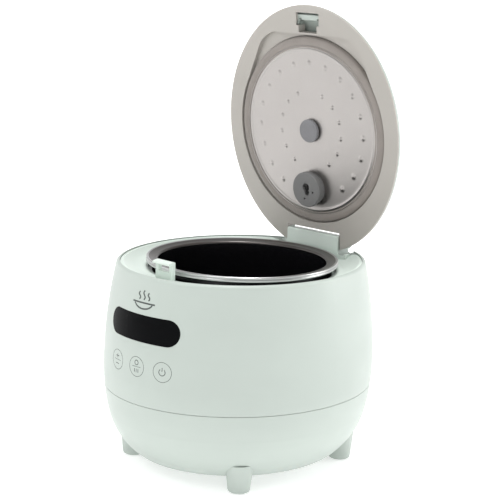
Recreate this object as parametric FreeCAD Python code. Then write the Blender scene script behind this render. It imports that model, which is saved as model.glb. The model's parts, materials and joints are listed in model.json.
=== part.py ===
import FreeCAD, Part
import math
import os

# Rice cooker, lid open. Millimetres. +Z up, front faces -Y, hinge at +Y.
# Origin: centre of the four feet, on the surface that they stand on.

V = FreeCAD.Vector
X_DIR, Y_DIR, Z_DIR = V(1, 0, 0), V(0, 1, 0), V(0, 0, 1)

# ---- body outline: half widths in X at their heights, stretched in Y into an oval
BELLY_R, BELLY_Z = 110.2, 88.0
LIP_R, LIP_Z = 100.8, 177.1
LIP_ROUND = 3.0
FLANK_R, FLANK_Z = 105.7, 48.0
HEEL_R, HEEL_Z = 85.5, 14.2
SOLE_R, SOLE_Z = 76.0, 11.0
BODY_OVAL = 1.11
CASING_WALL = 2.6
SEAM_Z, SEAM_GAP = 71.6, 0.4
TONGUE_WALL, TONGUE_UP, TONGUE_DOWN = 1.6, 5.0, 5.0

# ---- clearances
FIT = 0.2            # between two fixed pieces that nest
BODY_GAP = 0.35      # between pieces that move apart
RUNNING = 0.05       # radial, a pin in its bore

# ---- feet and underside
FOOT_X, FOOT_Y = 64.0, 63.5
FOOT_TOP_R, FOOT_TIP_R, FOOT_TOP_Z, FOOT_ROUND = 12.0, 9.2, 25.0, 2.4
FOOT_PEG_R, FOOT_PEG_LOW, FOOT_PEG_TOP = 3.0, 8.0, 23.0
PAD_R, PAD_T, PAD_PROUD = 5.4, 2.2, 0.5
COVER_R, COVER_T = 69.6, 2.6
COVER_LEDGE = 6.0
VENT_W, VENT_L, VENT_PITCH, VENT_COUNT = 3.0, 40.0, 7.0, 7

# ---- pot, liner and heater
POT_R, POT_WALL = 74.2, 2.0
POT_BASE_Z, POT_CORNER = 62.0, 20.0
FLANGE_R, FLANGE_Z, FLANGE_DROP = 82.3, 178.8, 1.8
BEAD_R, FLANGE_T = 2.2, 1.4
LINER_R, LINER_WALL = 77.0, 0.8
LINER_FLOOR_Z, LINER_FLOOR_IN = 47.0, 59.0
LINER_FLANGE_R = 88.5
PLATE_R, PLATE_T = 67.0, 7.0
SENSOR_R, SENSOR_T = 14.0, 9.0
SENSOR_BORE_GAP = 0.8
ELEMENT_RING_R, ELEMENT_TUBE_R = 50.0, 3.5
BOSS_IN, BOSS_OUT, BOSS_DEEP = 43.0, 57.0, 6.0
STRAP_Z, STRAP_T, STRAP_HALF = 33.0, 2.0, 26.0

# ---- top frame: dished shelf, front hook, rear hinge tower and well
SHELF_T, SHELF_Z, SHELF_IN_GAP, SHELF_OUT_R = 2.4, 167.2, 2.7, 89.5
HOOK_HALF, HOOK_Y, HOOK_T, HOOK_TOP_Z = 9.8, 88.7, 3.5, 187.3
BARB_OUT, BARB_DEEP, BARB_NOSE = 4.0, 2.4, 1.2
HOOK_WINDOW_HALF, HOOK_WINDOW_LOW, HOOK_WINDOW_TALL = 6.2, 178.4, 5.2
HINGE_Y, HINGE_Z = 97.75, 184.25
HINGE_PIN_R, HINGE_PIN_HALF = 2.5, 34.0
KNUCKLE_R, KNUCKLE_HALF = 5.4, 36.6
TOWER_HALF, TOWER_FRONT, TOWER_BACK, TOWER_TOP = 30.0, 7.45, 7.75, 5.55
SPRING_POCKET_HALF, SPRING_POCKET_IN, SPRING_POCKET_R = 9.0, 8.0, 3.9
WELL_HALF, WELL_R = 41.0, 15.4

# ---- lid, drawn closed and then turned open about the hinge
LID_OPEN = 84.35
LID_GAP = 1.2
LID_R, LID_OVAL = 98.0, 1.125
LID_HIGH, LID_EDGE_R, LID_WALL = 26.0, 9.5, 2.2
FRAME_INSET, FRAME_T = 0.2, 2.4
BRIM_T = 1.4
RECESS_R, RECESS_DEEP, TRAY_WALL = 83.2, 7.6, 1.5
POCKET_DEEP = 4.4
POCKET_FRONT, POCKET_HALF, POCKET_ROUND = 84.6, 36.0, 25.0
POCKET_SIDE_X, POCKET_SIDE_Y = 72.0, 41.9
SLOT_HALF, SLOT_IN, SLOT_MID = 10.4, 86.0, 92.2
SLOT_WIDE_HALF, SLOT_OUT = 13.0, 103.3
SLOT_WALL, SLOT_WALL_TALL = 1.2, 8.8
NOTCH_GAP, NOTCH_SIDE = 1.2, 0.4
YOKE_HALF, YOKE_FRONT = 36.5, 84.6
LID_SCREW_RING = 64.0

# ---- inner lid with its gasket, knob and steam valve
INNER_R, INNER_T = 75.0, 0.8
INNER_DROP = -0.4
GASKET_IN, GASKET_OUT, GASKET_H = 73.2, 82.7, 6.4
GASKET_LIP, GASKET_BEAD = 1.0, 0.5
KNOB_R, KNOB_H, POST_R = 10.3, 3.6, 5.0
DIMPLE_RINGS = ((59.7, 20, 0, 8, 3.2), (34.6, 15, 1, 6, 2.4))
DIMPLE_HIGH = 0.8
VALVE_Y, VALVE_R, VALVE_H, VALVE_NECK_R = 52.0, 15.8, 8.6, 9.5
VALVE_CAP_H = 4.0
DUCT_R, DUCT_WALL = 7.0, 1.6
VENT_CAP_R, VENT_CUP_DEEP, VENT_CAP_PROUD = 17.0, 8.0, 1.4

# ---- latch in the front of the lid: a push button whose legs drive a sliding catch
BUTTON_HALF, BUTTON_IN, BUTTON_OUT, BUTTON_T, BUTTON_ROUND = 17.0, 84.5, 98.0, 1.6, 5.0
BUTTON_LEG_X, BUTTON_LEG_T, BUTTON_LEG_FRONT, BUTTON_LEG_BACK = 14.2, 3.0, 95.0, 91.6
BUTTON_TRAVEL = 1.5
CATCH_HALF, CATCH_ENGAGE, CATCH_FRONT, CATCH_T = 9.0, 1.1, 101.2, 2.2
CATCH_WING_OUT, CATCH_WING_TALL = 16.2, 3.4
LATCH_SPRING_R, LATCH_SPRING_WIRE, LATCH_SPRING_LONG = 1.1, 0.2, 3.2

# ---- front panel
WINDOW_HALF, WINDOW_TALL, WINDOW_Z = 40.0, 22.0, 135.8
KEY_Z, KEY_PITCH = 104.0, 26.2
BOARD_Y, BOARD_T = 101.5, 1.6
BOARD_HALF, BOARD_LOW, BOARD_HIGH = 41.0, 92.0, 152.0

# ---- power parts
INLET_Z, INLET_HALF_W, INLET_HALF_H, INLET_DEEP = 46.0, 13.5, 9.5, 24.0
INLET_FACE_Y, INLET_PLATE_HALF_W, INLET_PLATE_HALF_H, INLET_PLATE_T = 112.6, 23.0, 13.0, 2.4
INLET_FRAME, INLET_SCREW_X = 2.0, 18.5
POWER_Z, POWER_HALF_X, POWER_HALF_Y = 20.0, 42.0, 36.0
TERMINAL_X, TERMINAL_Y, TERMINAL_UP = (20.0, 30.0), -26.0, 5.0
RIBBON_X, RIBBON_W, RIBBON_T, RIBBON_Z = -30.0, 12.0, 1.0, 36.0

LID_Z = LIP_Z + LID_GAP
HINGE = V(0, HINGE_Y, HINGE_Z)


# ------------------------------------------------------------------ helpers
def cyl(radius, height, base, axis=Z_DIR):
    return Part.makeCylinder(radius, height, base, axis)


def tube(outer, inner, height, base, axis=Z_DIR):
    return cyl(outer, height, base, axis).cut(cyl(inner, height, base, axis))


def box(low, high):
    return Part.makeBox(high[0] - low[0], high[1] - low[1], high[2] - low[2], V(*low))


def oval(shape, ratio):
    """Stretches a round shape front to back."""
    matrix = FreeCAD.Matrix()
    matrix.scale(1, ratio, 1)
    return shape.transformGeometry(matrix)


def turn(edges):
    """A closed outline in the XZ plane, turned round the upright axis."""
    return Part.Face(Part.Wire(edges)).revolve(V(0, 0, 0), Z_DIR, 360)


def line(a, b):
    return Part.LineSegment(V(*a), V(*b)).toShape()


def arc(a, m, b):
    return Part.Arc(V(*a), V(*m), V(*b)).toShape()


def polygon_prism(points, axis, length):
    """Prism on a closed outline of 3-D points, pushed along an axis."""
    return Part.Face(Part.makePolygon([V(*p) for p in points + points[:1]])).extrude(axis * length)


def tangent_arc(start, heading, end):
    """Arc in XZ that leaves start along heading (x, z) and ends at end."""
    hx, hz = heading
    nx, nz = -hz, hx
    dx, dz = end[0] - start[0], end[1] - start[1]
    radius = (dx * dx + dz * dz) / (2 * (dx * nx + dz * nz))
    cx, cz = start[0] + radius * nx, start[1] + radius * nz
    a0 = math.atan2(start[1] - cz, start[0] - cx)
    a1 = math.atan2(end[1] - cz, end[0] - cx)
    if radius > 0:
        a1 += 2 * math.pi if a1 < a0 else 0
    else:
        a1 -= 2 * math.pi if a1 > a0 else 0
    size = abs(radius)
    middle = (a0 + a1) / 2
    mid = (cx + size * math.cos(middle), 0, cz + size * math.sin(middle))
    side = 1 if radius > 0 else -1
    leaving = (-math.sin(a1) * side, math.cos(a1) * side)
    return arc((start[0], 0, start[1]), mid, (end[0], 0, end[1])), leaving


def flank(inset, z_low, z_high):
    """Body of the outline, moved in by inset, between two heights."""
    belly = (BELLY_R - inset, BELLY_Z)
    lip = (LIP_R - inset, LIP_Z)
    upper, leaving = tangent_arc(belly, (0, 1), lip)
    lower, heading = tangent_arc(belly, (0, -1), (FLANK_R - inset, FLANK_Z))
    heel = (HEEL_R - 0.7 * inset, HEEL_Z + 0.7 * inset)
    curl, heading = tangent_arc((FLANK_R - inset, FLANK_Z), heading, heel)
    sole = (SOLE_R - 0.3 * inset, SOLE_Z + inset)
    tuck, heading = tangent_arc(heel, heading, sole)
    outline = [upper, lower, curl, tuck,
               line((sole[0], 0, sole[1]), (0, 0, sole[1])),
               line((0, 0, sole[1]), (0, 0, LIP_Z)),
               line((0, 0, LIP_Z), (lip[0], 0, LIP_Z))]
    solid = turn(Part.__sortEdges__(outline))
    reach = BELLY_R + 10
    band = cyl(reach, z_high - z_low, V(0, 0, z_low))
    return oval(solid.common(band), BODY_OVAL)


def dome(half_width, high, edge_round, low_z):
    """Solid cap: an upright edge, a round shoulder and a shallow crown."""
    flat = half_width - edge_round
    half_slope = math.atan((high - edge_round) / flat)
    slope = 2 * half_slope
    crown = flat / math.sin(slope) + edge_round
    meet = (flat + edge_round * math.sin(slope), edge_round * math.cos(slope))
    shoulder, heading = tangent_arc((half_width, low_z), (0, 1), (meet[0], low_z + meet[1]))
    rise = crown - math.sqrt(crown ** 2 - (meet[0] / 2) ** 2)
    top = arc((meet[0], 0, low_z + meet[1]), (meet[0] / 2, 0, low_z + high - rise),
              (0, 0, low_z + high))
    edges = [line((0, 0, low_z), (half_width, 0, low_z)), shoulder, top,
             line((0, 0, low_z + high), (0, 0, low_z))]
    return oval(turn(edges), LID_OVAL)


def ellipse_wire(half_x, half_y, z):
    if abs(half_x - half_y) < 1e-6:
        curve = Part.Circle(V(0, 0, z), Z_DIR, half_x)
        return Part.Wire(curve.toShape())
    curve = Part.Ellipse(V(0, 0, z), half_y, half_x)
    edge = curve.toShape()
    edge.rotate(V(0, 0, z), Z_DIR, 90)
    return Part.Wire(edge)


def dish(inset, drop):
    """Solid bowl: oval at the lip, round at the shelf."""
    top = (LIP_R - CASING_WALL - 1.5 * FIT - inset, LIP_Z - 1.0)
    low = SHELF_OUT_R - inset
    middle = 0.45 * top[0] + 0.55 * low
    wires = [ellipse_wire(low, low, SHELF_Z + drop),
             ellipse_wire(middle, middle * (1 + 0.45 * (BODY_OVAL - 1)), SHELF_Z + drop + 1.6),
             ellipse_wire(top[0], top[0] * BODY_OVAL, top[1])]
    return Part.makeLoft(wires, True, False)


def capsule(half_long, tall, z, y_from, y_to, shrink=0.0):
    """Upright capsule outline on the front, pushed through along Y."""
    r = tall / 2 - shrink
    span = half_long - tall / 2
    left, right = -span, span
    edges = [line((left, y_from, z + r), (right, y_from, z + r)),
             arc((right, y_from, z + r), (right + r, y_from, z), (right, y_from, z - r)),
             line((right, y_from, z - r), (left, y_from, z - r)),
             arc((left, y_from, z - r), (left - r, y_from, z), (left, y_from, z + r))]
    return Part.Face(Part.Wire(edges)).extrude(V(0, y_to - y_from, 0))


def coil(radius, wire_r, pitch, height, base, axis=Z_DIR):
    """Helical spring along an axis."""
    helix = Part.makeHelix(pitch, height, radius)
    profile = Part.Wire(Part.Circle(V(radius, 0, 0), Y_DIR, wire_r).toShape())
    spring = Part.Wire(helix.Edges).makePipeShell([profile], True, True)
    spring.Placement = FreeCAD.Placement(base, FreeCAD.Rotation(Z_DIR, axis))
    return spring


def lead(points, radius):
    """Round wire on straight runs joined by tangent arcs."""
    pts = [V(*p) for p in points]
    edges, here = [], pts[0]
    for before, at, after in zip(pts, pts[1:], pts[2:]):
        u, w = (before - at).normalize(), (after - at).normalize()
        run = min((at - before).Length, (after - at).Length)
        cut = 0.45 * run
        start, end = at + u * cut, at + w * cut
        half = u.getAngle(w) / 2
        bisector = (u + w).normalize()
        arc_r = cut * math.tan(half)
        centre = at + bisector * (cut / math.cos(half))
        mid = centre - bisector * arc_r
        edges.append(Part.LineSegment(here, start).toShape())
        edges.append(Part.Arc(start, mid, end).toShape())
        here = end
    edges.append(Part.LineSegment(here, pts[-1]).toShape())
    circle = Part.Wire(Part.Circle(pts[0], pts[1] - pts[0], radius).toShape())
    return Part.Wire(edges).makePipeShell([circle], True, True)


def fuse(shapes):
    """Joins shapes into one and merges the faces that continue each other."""
    return weld(shapes).removeSplitter()


def weld(shapes):
    """Joins shapes one by one and leaves their faces as they meet."""
    joined = shapes[0]
    for shape in shapes[1:]:
        joined = joined.fuse(shape)
    return joined


def around(count, radius, start_deg=0.0):
    step = 2 * math.pi / count
    return [(radius * math.cos(math.radians(start_deg) + i * step),
             radius * math.sin(math.radians(start_deg) + i * step)) for i in range(count)]


def four(x, y):
    return [(x, y), (-x, y), (-x, -y), (x, -y)]


def screw(x, y, z_head, up, length, head_r=2.8, shank_r=1.5, head_t=1.8):
    """Pan-head screw; up is +1 when the shank points up from the head."""
    axis = Z_DIR * up
    head = cyl(head_r, head_t, V(x, y, z_head), axis)
    shank = cyl(shank_r, length, V(x, y, z_head + up * head_t), axis)
    drive = box((x - 1.6, y - 0.35, z_head - 0.01), (x + 1.6, y + 0.35, z_head + 0.7)) \
        if up > 0 else box((x - 1.6, y - 0.35, z_head - 0.7), (x + 1.6, y + 0.35, z_head + 0.01))
    return head.fuse(shank).cut(drive)


# ------------------------------------------------------------------ lower body
COVER_SCREWS = four(40.0, 46.0)
LINER_POSTS = around(4, 70.0, 45.0)
BOARD_POSTS = four(POWER_HALF_X - 5, POWER_HALF_Y - 5)


def feet():
    """Four round feet that follow the belly's curve, each with a peg up through the casing."""
    belly = flank(0, SOLE_Z - 1, SEAM_Z)
    made = []
    for x, y in four(FOOT_X, FOOT_Y):
        cone = Part.makeCone(FOOT_TIP_R, FOOT_TOP_R, FOOT_TOP_Z - PAD_PROUD, V(x, y, PAD_PROUD))
        rim = [e for e in cone.Edges if abs(e.BoundBox.ZMax - PAD_PROUD) < 0.01]
        foot = cone.makeFillet(FOOT_ROUND, rim).cut(belly)
        foot = foot.fuse(cyl(FOOT_PEG_R, FOOT_PEG_TOP - FOOT_PEG_LOW, V(x, y, FOOT_PEG_LOW)))
        made.append(foot.cut(cyl(PAD_R + FIT, PAD_T, V(x, y, 0))))
    return Part.makeCompound(made)


def lower_casing():
    z_top = SEAM_Z - SEAM_GAP / 2
    shell = flank(0, SOLE_Z - 1, z_top).cut(flank(CASING_WALL, SOLE_Z - 1, z_top + 1))
    tongue = flank(CASING_WALL + FIT, z_top - TONGUE_DOWN, SEAM_Z + TONGUE_UP)
    tongue = tongue.cut(flank(CASING_WALL + FIT + TONGUE_WALL, z_top - TONGUE_DOWN,
                              SEAM_Z + TONGUE_UP))
    bridge = flank(CASING_WALL - 0.5, z_top - TONGUE_DOWN, z_top - 1.0)
    bridge = bridge.cut(flank(CASING_WALL + FIT + TONGUE_WALL, z_top - TONGUE_DOWN, z_top - 1.0))
    floor = SOLE_Z + COVER_T + FIT
    ring = tube(COVER_R + 4, COVER_R - COVER_LEDGE, 2.4, V(0, 0, floor))
    ring = ring.fuse(tube(COVER_R + 4, COVER_R - 1, COVER_T, V(0, 0, SOLE_Z + 1))).removeSplitter()
    ledge = oval(ring, BODY_OVAL)
    posts = [cyl(5.0, LINER_FLOOR_Z - floor, V(x, y, floor)) for x, y in LINER_POSTS]
    bosses = [cyl(4.2, 10.0, V(x, y * BODY_OVAL, floor)) for x, y in COVER_SCREWS]
    half_w, half_h = INLET_PLATE_HALF_W + INLET_FRAME, INLET_PLATE_HALF_H + INLET_FRAME
    pad = box((-half_w, INLET_FACE_Y - 12, INLET_Z - half_h), (half_w, INLET_FACE_Y + 10, INLET_Z + half_h))
    pad = pad.common(flank(-1.5, SOLE_Z, z_top)).cut(flank(CASING_WALL + 5.5, SOLE_Z - 1, z_top + 1))
    opening = oval(cyl(COVER_R + FIT, COVER_T + FIT + 1, V(0, 0, SOLE_Z - 1)), BODY_OVAL)
    shell = shell.cut(opening)
    ledge = ledge.cut(opening)
    casing = weld([shell, ledge, tongue, bridge, pad] + posts + bosses)
    cuts = [cyl(FOOT_PEG_R + FIT, FOOT_PEG_TOP, V(x, y, 1.0)) for x, y in four(FOOT_X, FOOT_Y)]
    cuts += [cyl(1.5, 9.0, V(x, y * BODY_OVAL, floor - 1)) for x, y in COVER_SCREWS]
    cuts.append(box((-INLET_HALF_W - FIT, INLET_FACE_Y - 40, INLET_Z - INLET_HALF_H - FIT),
                    (INLET_HALF_W + FIT, INLET_FACE_Y + 20, INLET_Z + INLET_HALF_H + FIT)))
    cuts.append(box((-INLET_PLATE_HALF_W, INLET_FACE_Y - INLET_PLATE_T, INLET_Z - INLET_PLATE_HALF_H),
                    (INLET_PLATE_HALF_W, INLET_FACE_Y + 20, INLET_Z + INLET_PLATE_HALF_H)))
    for side in (-1, 1):
        cuts.append(cyl(1.5, 12, V(side * INLET_SCREW_X, INLET_FACE_Y + 2, INLET_Z), V(0, -1, 0)))
    return casing.cut(cuts[0].multiFuse(cuts[1:]))


def foot_pads():
    pads = []
    for x, y in four(FOOT_X, FOOT_Y):
        pad = cyl(PAD_R, PAD_T - FIT, V(x, y, 0))
        rim = [e for e in pad.Edges if abs(e.BoundBox.ZMax) < 0.01]
        pads.append(pad.makeFillet(0.5, rim))
    return Part.makeCompound(pads)


def bottom_cover():
    plate = oval(cyl(COVER_R, COVER_T, V(0, 0, SOLE_Z)), BODY_OVAL)
    posts = [cyl(3.0, POWER_Z - SOLE_Z - COVER_T, V(x, y, SOLE_Z + COVER_T)) for x, y in BOARD_POSTS]
    cover = fuse([plate] + posts)
    cuts = [cyl(1.7, 9, V(x, y * BODY_OVAL, SOLE_Z - 1)) for x, y in COVER_SCREWS]
    cuts += [cyl(3.1, 2.0, V(x, y * BODY_OVAL, SOLE_Z - 0.5)) for x, y in COVER_SCREWS]
    cuts += [cyl(1.2, 5, V(x, y, POWER_Z - 5)) for x, y in BOARD_POSTS]
    for i in range(VENT_COUNT):
        x = (i - (VENT_COUNT - 1) / 2) * VENT_PITCH
        slot = box((x - VENT_W / 2, -VENT_L / 2, SOLE_Z - 1), (x + VENT_W / 2, VENT_L / 2, SOLE_Z + 4))
        ends = [cyl(VENT_W / 2, 5, V(x, s * VENT_L / 2, SOLE_Z - 1)) for s in (-1, 1)]
        cuts.append(fuse([slot] + ends))
    return cover.cut(cuts[0].multiFuse(cuts[1:]))


def cover_screws():
    return Part.makeCompound([screw(x, y * BODY_OVAL, SOLE_Z - 0.4, 1, 7.0, shank_r=1.4)
                              for x, y in COVER_SCREWS])


def inlet_socket():
    face = INLET_FACE_Y
    plate = box((-INLET_PLATE_HALF_W + FIT, face - INLET_PLATE_T + FIT, INLET_Z - INLET_PLATE_HALF_H + FIT),
                (INLET_PLATE_HALF_W - FIT, face + 0.6, INLET_Z + INLET_PLATE_HALF_H - FIT))
    body = box((-INLET_HALF_W, face - INLET_DEEP, INLET_Z - INLET_HALF_H),
               (INLET_HALF_W, face, INLET_Z + INLET_HALF_H))
    wall = 1.6
    hollow = box((-INLET_HALF_W + wall, face - INLET_DEEP + 6, INLET_Z - INLET_HALF_H + wall),
                 (INLET_HALF_W - wall, face + 2, INLET_Z + INLET_HALF_H - wall))
    corners = [e for e in hollow.Edges if abs(e.BoundBox.YLength - (INLET_DEEP - 4)) < 0.01
               and e.BoundBox.ZMin > INLET_Z]
    socket = plate.fuse(body).cut(hollow.makeChamfer(3.0, corners))
    holes = [box((x - 1.0 - FIT / 2, face - INLET_DEEP - 1, z - 2.0 - FIT / 2),
                 (x + 1.0 + FIT / 2, face - INLET_DEEP + 8, z + 2.0 + FIT / 2)) for x, z in INLET_PINS]
    holes += [cyl(1.7, 6, V(s * INLET_SCREW_X, face + 2, INLET_Z), V(0, -1, 0)) for s in (-1, 1)]
    holes += [cyl(3.1, 1.6, V(s * INLET_SCREW_X, face + 0.8, INLET_Z), V(0, -1, 0)) for s in (-1, 1)]
    return socket.cut(holes[0].multiFuse(holes[1:]))


INLET_PINS = [(-7.0, INLET_Z - 2.0), (0.0, INLET_Z + 2.0), (7.0, INLET_Z - 2.0)]


def inlet_pins():
    face = INLET_FACE_Y
    pins = []
    for x, z in INLET_PINS:
        blade = box((x - 1.0, face - INLET_DEEP - 6, z - 2.0), (x + 1.0, face - 4.0, z + 2.0))
        tip = [e for e in blade.Edges if abs(e.BoundBox.YMin - (face - 4.0)) < 0.01]
        pins.append(blade.makeChamfer(0.6, tip))
    return Part.makeCompound(pins)


def inlet_screws():
    screws = []
    for side in (-1, 1):
        piece = screw(0, 0, 0, 1, 7.0, head_r=2.8, head_t=1.4, shank_r=1.4)
        piece.rotate(V(0, 0, 0), X_DIR, 90)
        piece.translate(V(side * INLET_SCREW_X, INLET_FACE_Y + 0.6, INLET_Z))
        screws.append(piece)
    return Part.makeCompound(screws)


def power_board():
    board = box((-POWER_HALF_X, -POWER_HALF_Y, POWER_Z), (POWER_HALF_X, POWER_HALF_Y, POWER_Z + BOARD_T))
    holes = [cyl(1.4, 4, V(x, y, POWER_Z - 1)) for x, y in BOARD_POSTS]
    return board.cut(holes[0].multiFuse(holes[1:]))


def board_screws():
    return Part.makeCompound([screw(x, y, POWER_Z + BOARD_T + 1.6, -1, 4.5, head_r=2.4,
                                    shank_r=1.1, head_t=1.5) for x, y in BOARD_POSTS])


def relay():
    case = box((-28, 4, POWER_Z + BOARD_T), (-9, 20, POWER_Z + BOARD_T + 10.5))
    return case.makeFillet(0.8, [e for e in case.Edges if e.BoundBox.ZMin > POWER_Z + BOARD_T + 10])


def transformer():
    z = POWER_Z + BOARD_T
    core = box((8, 2, z), (28, 20, z + 4)).fuse(box((8, 2, z + 8), (28, 20, z + 11)))
    return core.fuse(cyl(7.5, 11, V(18, 11, z)))


def capacitors():
    z = POWER_Z + BOARD_T
    return Part.makeCompound([cyl(4.0, 10.5, V(x, y, z)) for x, y in ((-20, -16), (-9, -18), (4, -20))])


def terminal_block():
    z = POWER_Z + BOARD_T
    block = box((14, TERMINAL_Y, z), (36, TERMINAL_Y + 10, z + 9))
    holes = [cyl(1.8, 5, V(x, TERMINAL_Y - 0.5, z + TERMINAL_UP), Y_DIR) for x in TERMINAL_X]
    return block.cut(holes[0].multiFuse(holes[1:]))


# ------------------------------------------------------------------ upper body
def upper_wall():
    """Outer wall with its lip, before windows are cut."""
    z_low = SEAM_Z + SEAM_GAP / 2
    solid = flank(0, z_low, LIP_Z)
    rim = max((e for e in solid.Edges if abs(e.BoundBox.ZMin - LIP_Z) < 0.01), key=lambda e: e.Length)
    rounded = solid.makeFillet(LIP_ROUND - 0.5, [rim])
    return rounded.cut(flank(CASING_WALL, z_low - 1, LIP_Z + 1))


def well_drum(radius, half):
    return cyl(radius, 2 * half, V(-half, HINGE_Y, HINGE_Z), X_DIR)


def upper_casing():
    wall = upper_wall().cut(well_drum(WELL_R, WELL_HALF))
    return wall.cut(capsule(WINDOW_HALF, WINDOW_TALL, WINDOW_Z, -140, -80))


def display_window():
    lens = capsule(WINDOW_HALF, WINDOW_TALL, WINDOW_Z, -140, -80, shrink=0.15)
    return upper_wall().common(lens)


def display_module():
    half, tall = WINDOW_HALF - 12, WINDOW_TALL - 6
    y_back = -BOARD_Y
    module = box((-half, y_back - 5.0, WINDOW_Z - tall / 2), (half, y_back, WINDOW_Z + tall / 2))
    glass = box((-half + 1.5, y_back - 6.0, WINDOW_Z - tall / 2 + 1.5),
                (half - 1.5, y_back - 5.0, WINDOW_Z + tall / 2 - 1.5))
    return module.fuse(glass)


def control_board():
    board = box((-BOARD_HALF, -BOARD_Y, BOARD_LOW), (BOARD_HALF, -BOARD_Y + BOARD_T, BOARD_HIGH))
    chip = box((-6, -BOARD_Y + BOARD_T, 112), (6, -BOARD_Y + BOARD_T + 1.8, 124))
    plug = box((RIBBON_X - 2, -BOARD_Y + BOARD_T, 96), (RIBBON_X + RIBBON_W + 2, -BOARD_Y + BOARD_T + 5, 102))
    return fuse([board, chip, plug])


def panel_bracket():
    """Plastic carrier behind the panel, which holds the control board."""
    y = -BOARD_Y + BOARD_T
    frame = box((-BOARD_HALF - 3, y - 4, BOARD_LOW - 3), (BOARD_HALF + 3, y + 7, BOARD_HIGH + 3))
    hole = box((-BOARD_HALF - FIT, y - 5, BOARD_LOW - FIT), (BOARD_HALF + FIT, y + 8, BOARD_HIGH + FIT))
    rim = frame.cut(hole)
    ledge = box((-BOARD_HALF - 1, y + FIT, BOARD_LOW - 1), (BOARD_HALF + 1, y + 2.2, BOARD_HIGH + 1))
    ledge = ledge.cut(box((-BOARD_HALF + 3, y - 1, BOARD_LOW + 3), (BOARD_HALF - 3, y + 3, BOARD_HIGH - 3)))
    inside = flank(CASING_WALL + FIT, BOARD_LOW - 5, BOARD_HIGH + 5)
    return rim.fuse(ledge).common(inside)


def touch_springs():
    springs = []
    for i in (-1, 0, 1):
        x = i * KEY_PITCH
        wall_y = (BELLY_R - CASING_WALL - 1.5) * BODY_OVAL * math.sqrt(1 - (x / (BELLY_R - 4)) ** 2)
        springs.append(coil(3.6, 0.4, 2.6, wall_y - BOARD_Y - 1.2, V(x, -BOARD_Y - 0.5, KEY_Z), V(0, -1, 0)))
    return Part.makeCompound(springs)


def hook():
    """Fixed catch: an upright plate with a window and a barb to the front."""
    low, top, y0, y1 = SHELF_Z, HOOK_TOP_Z, -HOOK_Y, -HOOK_Y - HOOK_T
    side = [(-HOOK_HALF, y0, low), (-HOOK_HALF, y0, top - 0.6), (-HOOK_HALF, y0 - 0.8, top),
            (-HOOK_HALF, y1, top), (-HOOK_HALF, y1 - BARB_OUT, top - BARB_DEEP + BARB_NOSE),
            (-HOOK_HALF, y1 - BARB_OUT, top - BARB_DEEP), (-HOOK_HALF, y1, top - BARB_DEEP),
            (-HOOK_HALF, y1, low)]
    plate = polygon_prism(side, X_DIR, 2 * HOOK_HALF)
    window = box((-HOOK_WINDOW_HALF, y1 - 1, HOOK_WINDOW_LOW),
                 (HOOK_WINDOW_HALF, y0 + 1, HOOK_WINDOW_LOW + HOOK_WINDOW_TALL))
    return plate.cut(window)


def tower():
    """Hinge block with a round-edged top; the pin runs through it."""
    front, back = HINGE_Y - TOWER_FRONT, HINGE_Y + TOWER_BACK
    top = HINGE_Z + TOWER_TOP
    side = [(-TOWER_HALF, front, SHELF_Z), (-TOWER_HALF, front, top - 1.5),
            (-TOWER_HALF, front + 1.7, top), (-TOWER_HALF, back - 1.5, top - 1.8),
            (-TOWER_HALF, back, top - 3.3), (-TOWER_HALF, back, SHELF_Z)]
    return polygon_prism(side, X_DIR, 2 * TOWER_HALF)


def spring_pockets():
    pockets = []
    for side in (-1, 1):
        x0 = side * (SPRING_POCKET_IN + SPRING_POCKET_HALF) - SPRING_POCKET_HALF
        barrel = cyl(SPRING_POCKET_R, 2 * SPRING_POCKET_HALF, V(x0, HINGE_Y, HINGE_Z), X_DIR)
        throat = box((x0, HINGE_Y - SPRING_POCKET_R, HINGE_Z - 24),
                     (x0 + 2 * SPRING_POCKET_HALF, HINGE_Y + SPRING_POCKET_R, HINGE_Z))
        pockets.append(barrel.fuse(throat))
    return pockets


def top_frame():
    shelf_in = LINER_R + LINER_WALL + SHELF_IN_GAP
    bowl = dish(0, 0).cut(dish(SHELF_T, SHELF_T))
    shelf = tube(SHELF_OUT_R + 0.5, shelf_in, SHELF_T, V(0, 0, SHELF_Z))
    reach = (LIP_R - CASING_WALL - FIT) * BODY_OVAL
    block = box((-WELL_HALF - 2.2, SHELF_OUT_R - 4, SHELF_Z), (WELL_HALF + 2.2, reach + 5, LIP_Z - 1.5))
    block = block.common(flank(CASING_WALL + FIT, SHELF_Z, LIP_Z))
    collar = oval(cyl(LIP_R - CASING_WALL - FIT, 8, V(0, 0, LIP_Z - 9)), BODY_OVAL)
    collar = collar.cut(dish(SHELF_T, SHELF_T)).cut(oval(cyl(LIP_R - CASING_WALL - FIT - SHELF_T, 12,
                                                         V(0, 0, LIP_Z - 10)), BODY_OVAL))
    collar = collar.common(flank(CASING_WALL + FIT, LIP_Z - 9, LIP_Z))
    frame = fuse([bowl, shelf, block, collar])
    frame = frame.cut(cyl(shelf_in, 30, V(0, 0, SHELF_Z - 10)))
    frame = frame.cut(well_drum(WELL_R, WELL_HALF))
    frame = fuse([frame, hook(), tower()])
    cuts = spring_pockets() + [well_drum(HINGE_PIN_R + RUNNING, HINGE_PIN_HALF + 1)]
    return frame.cut(cuts[0].multiFuse(cuts[1:]))


def hinge_pin():
    pin = cyl(HINGE_PIN_R, 2 * HINGE_PIN_HALF, V(-HINGE_PIN_HALF, HINGE_Y, HINGE_Z), X_DIR)
    return pin.makeChamfer(0.4, [e for e in pin.Edges if e.BoundBox.XLength < 0.01])


def hinge_springs():
    springs = []
    for side in (-1, 1):
        centre = side * (SPRING_POCKET_IN + SPRING_POCKET_HALF)
        base = V(centre - SPRING_POCKET_HALF + 1.5, HINGE_Y, HINGE_Z)
        springs.append(coil(3.15, 0.5, 1.4, 2 * SPRING_POCKET_HALF - 3.0, base, X_DIR))
    return Part.makeCompound(springs)


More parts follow.
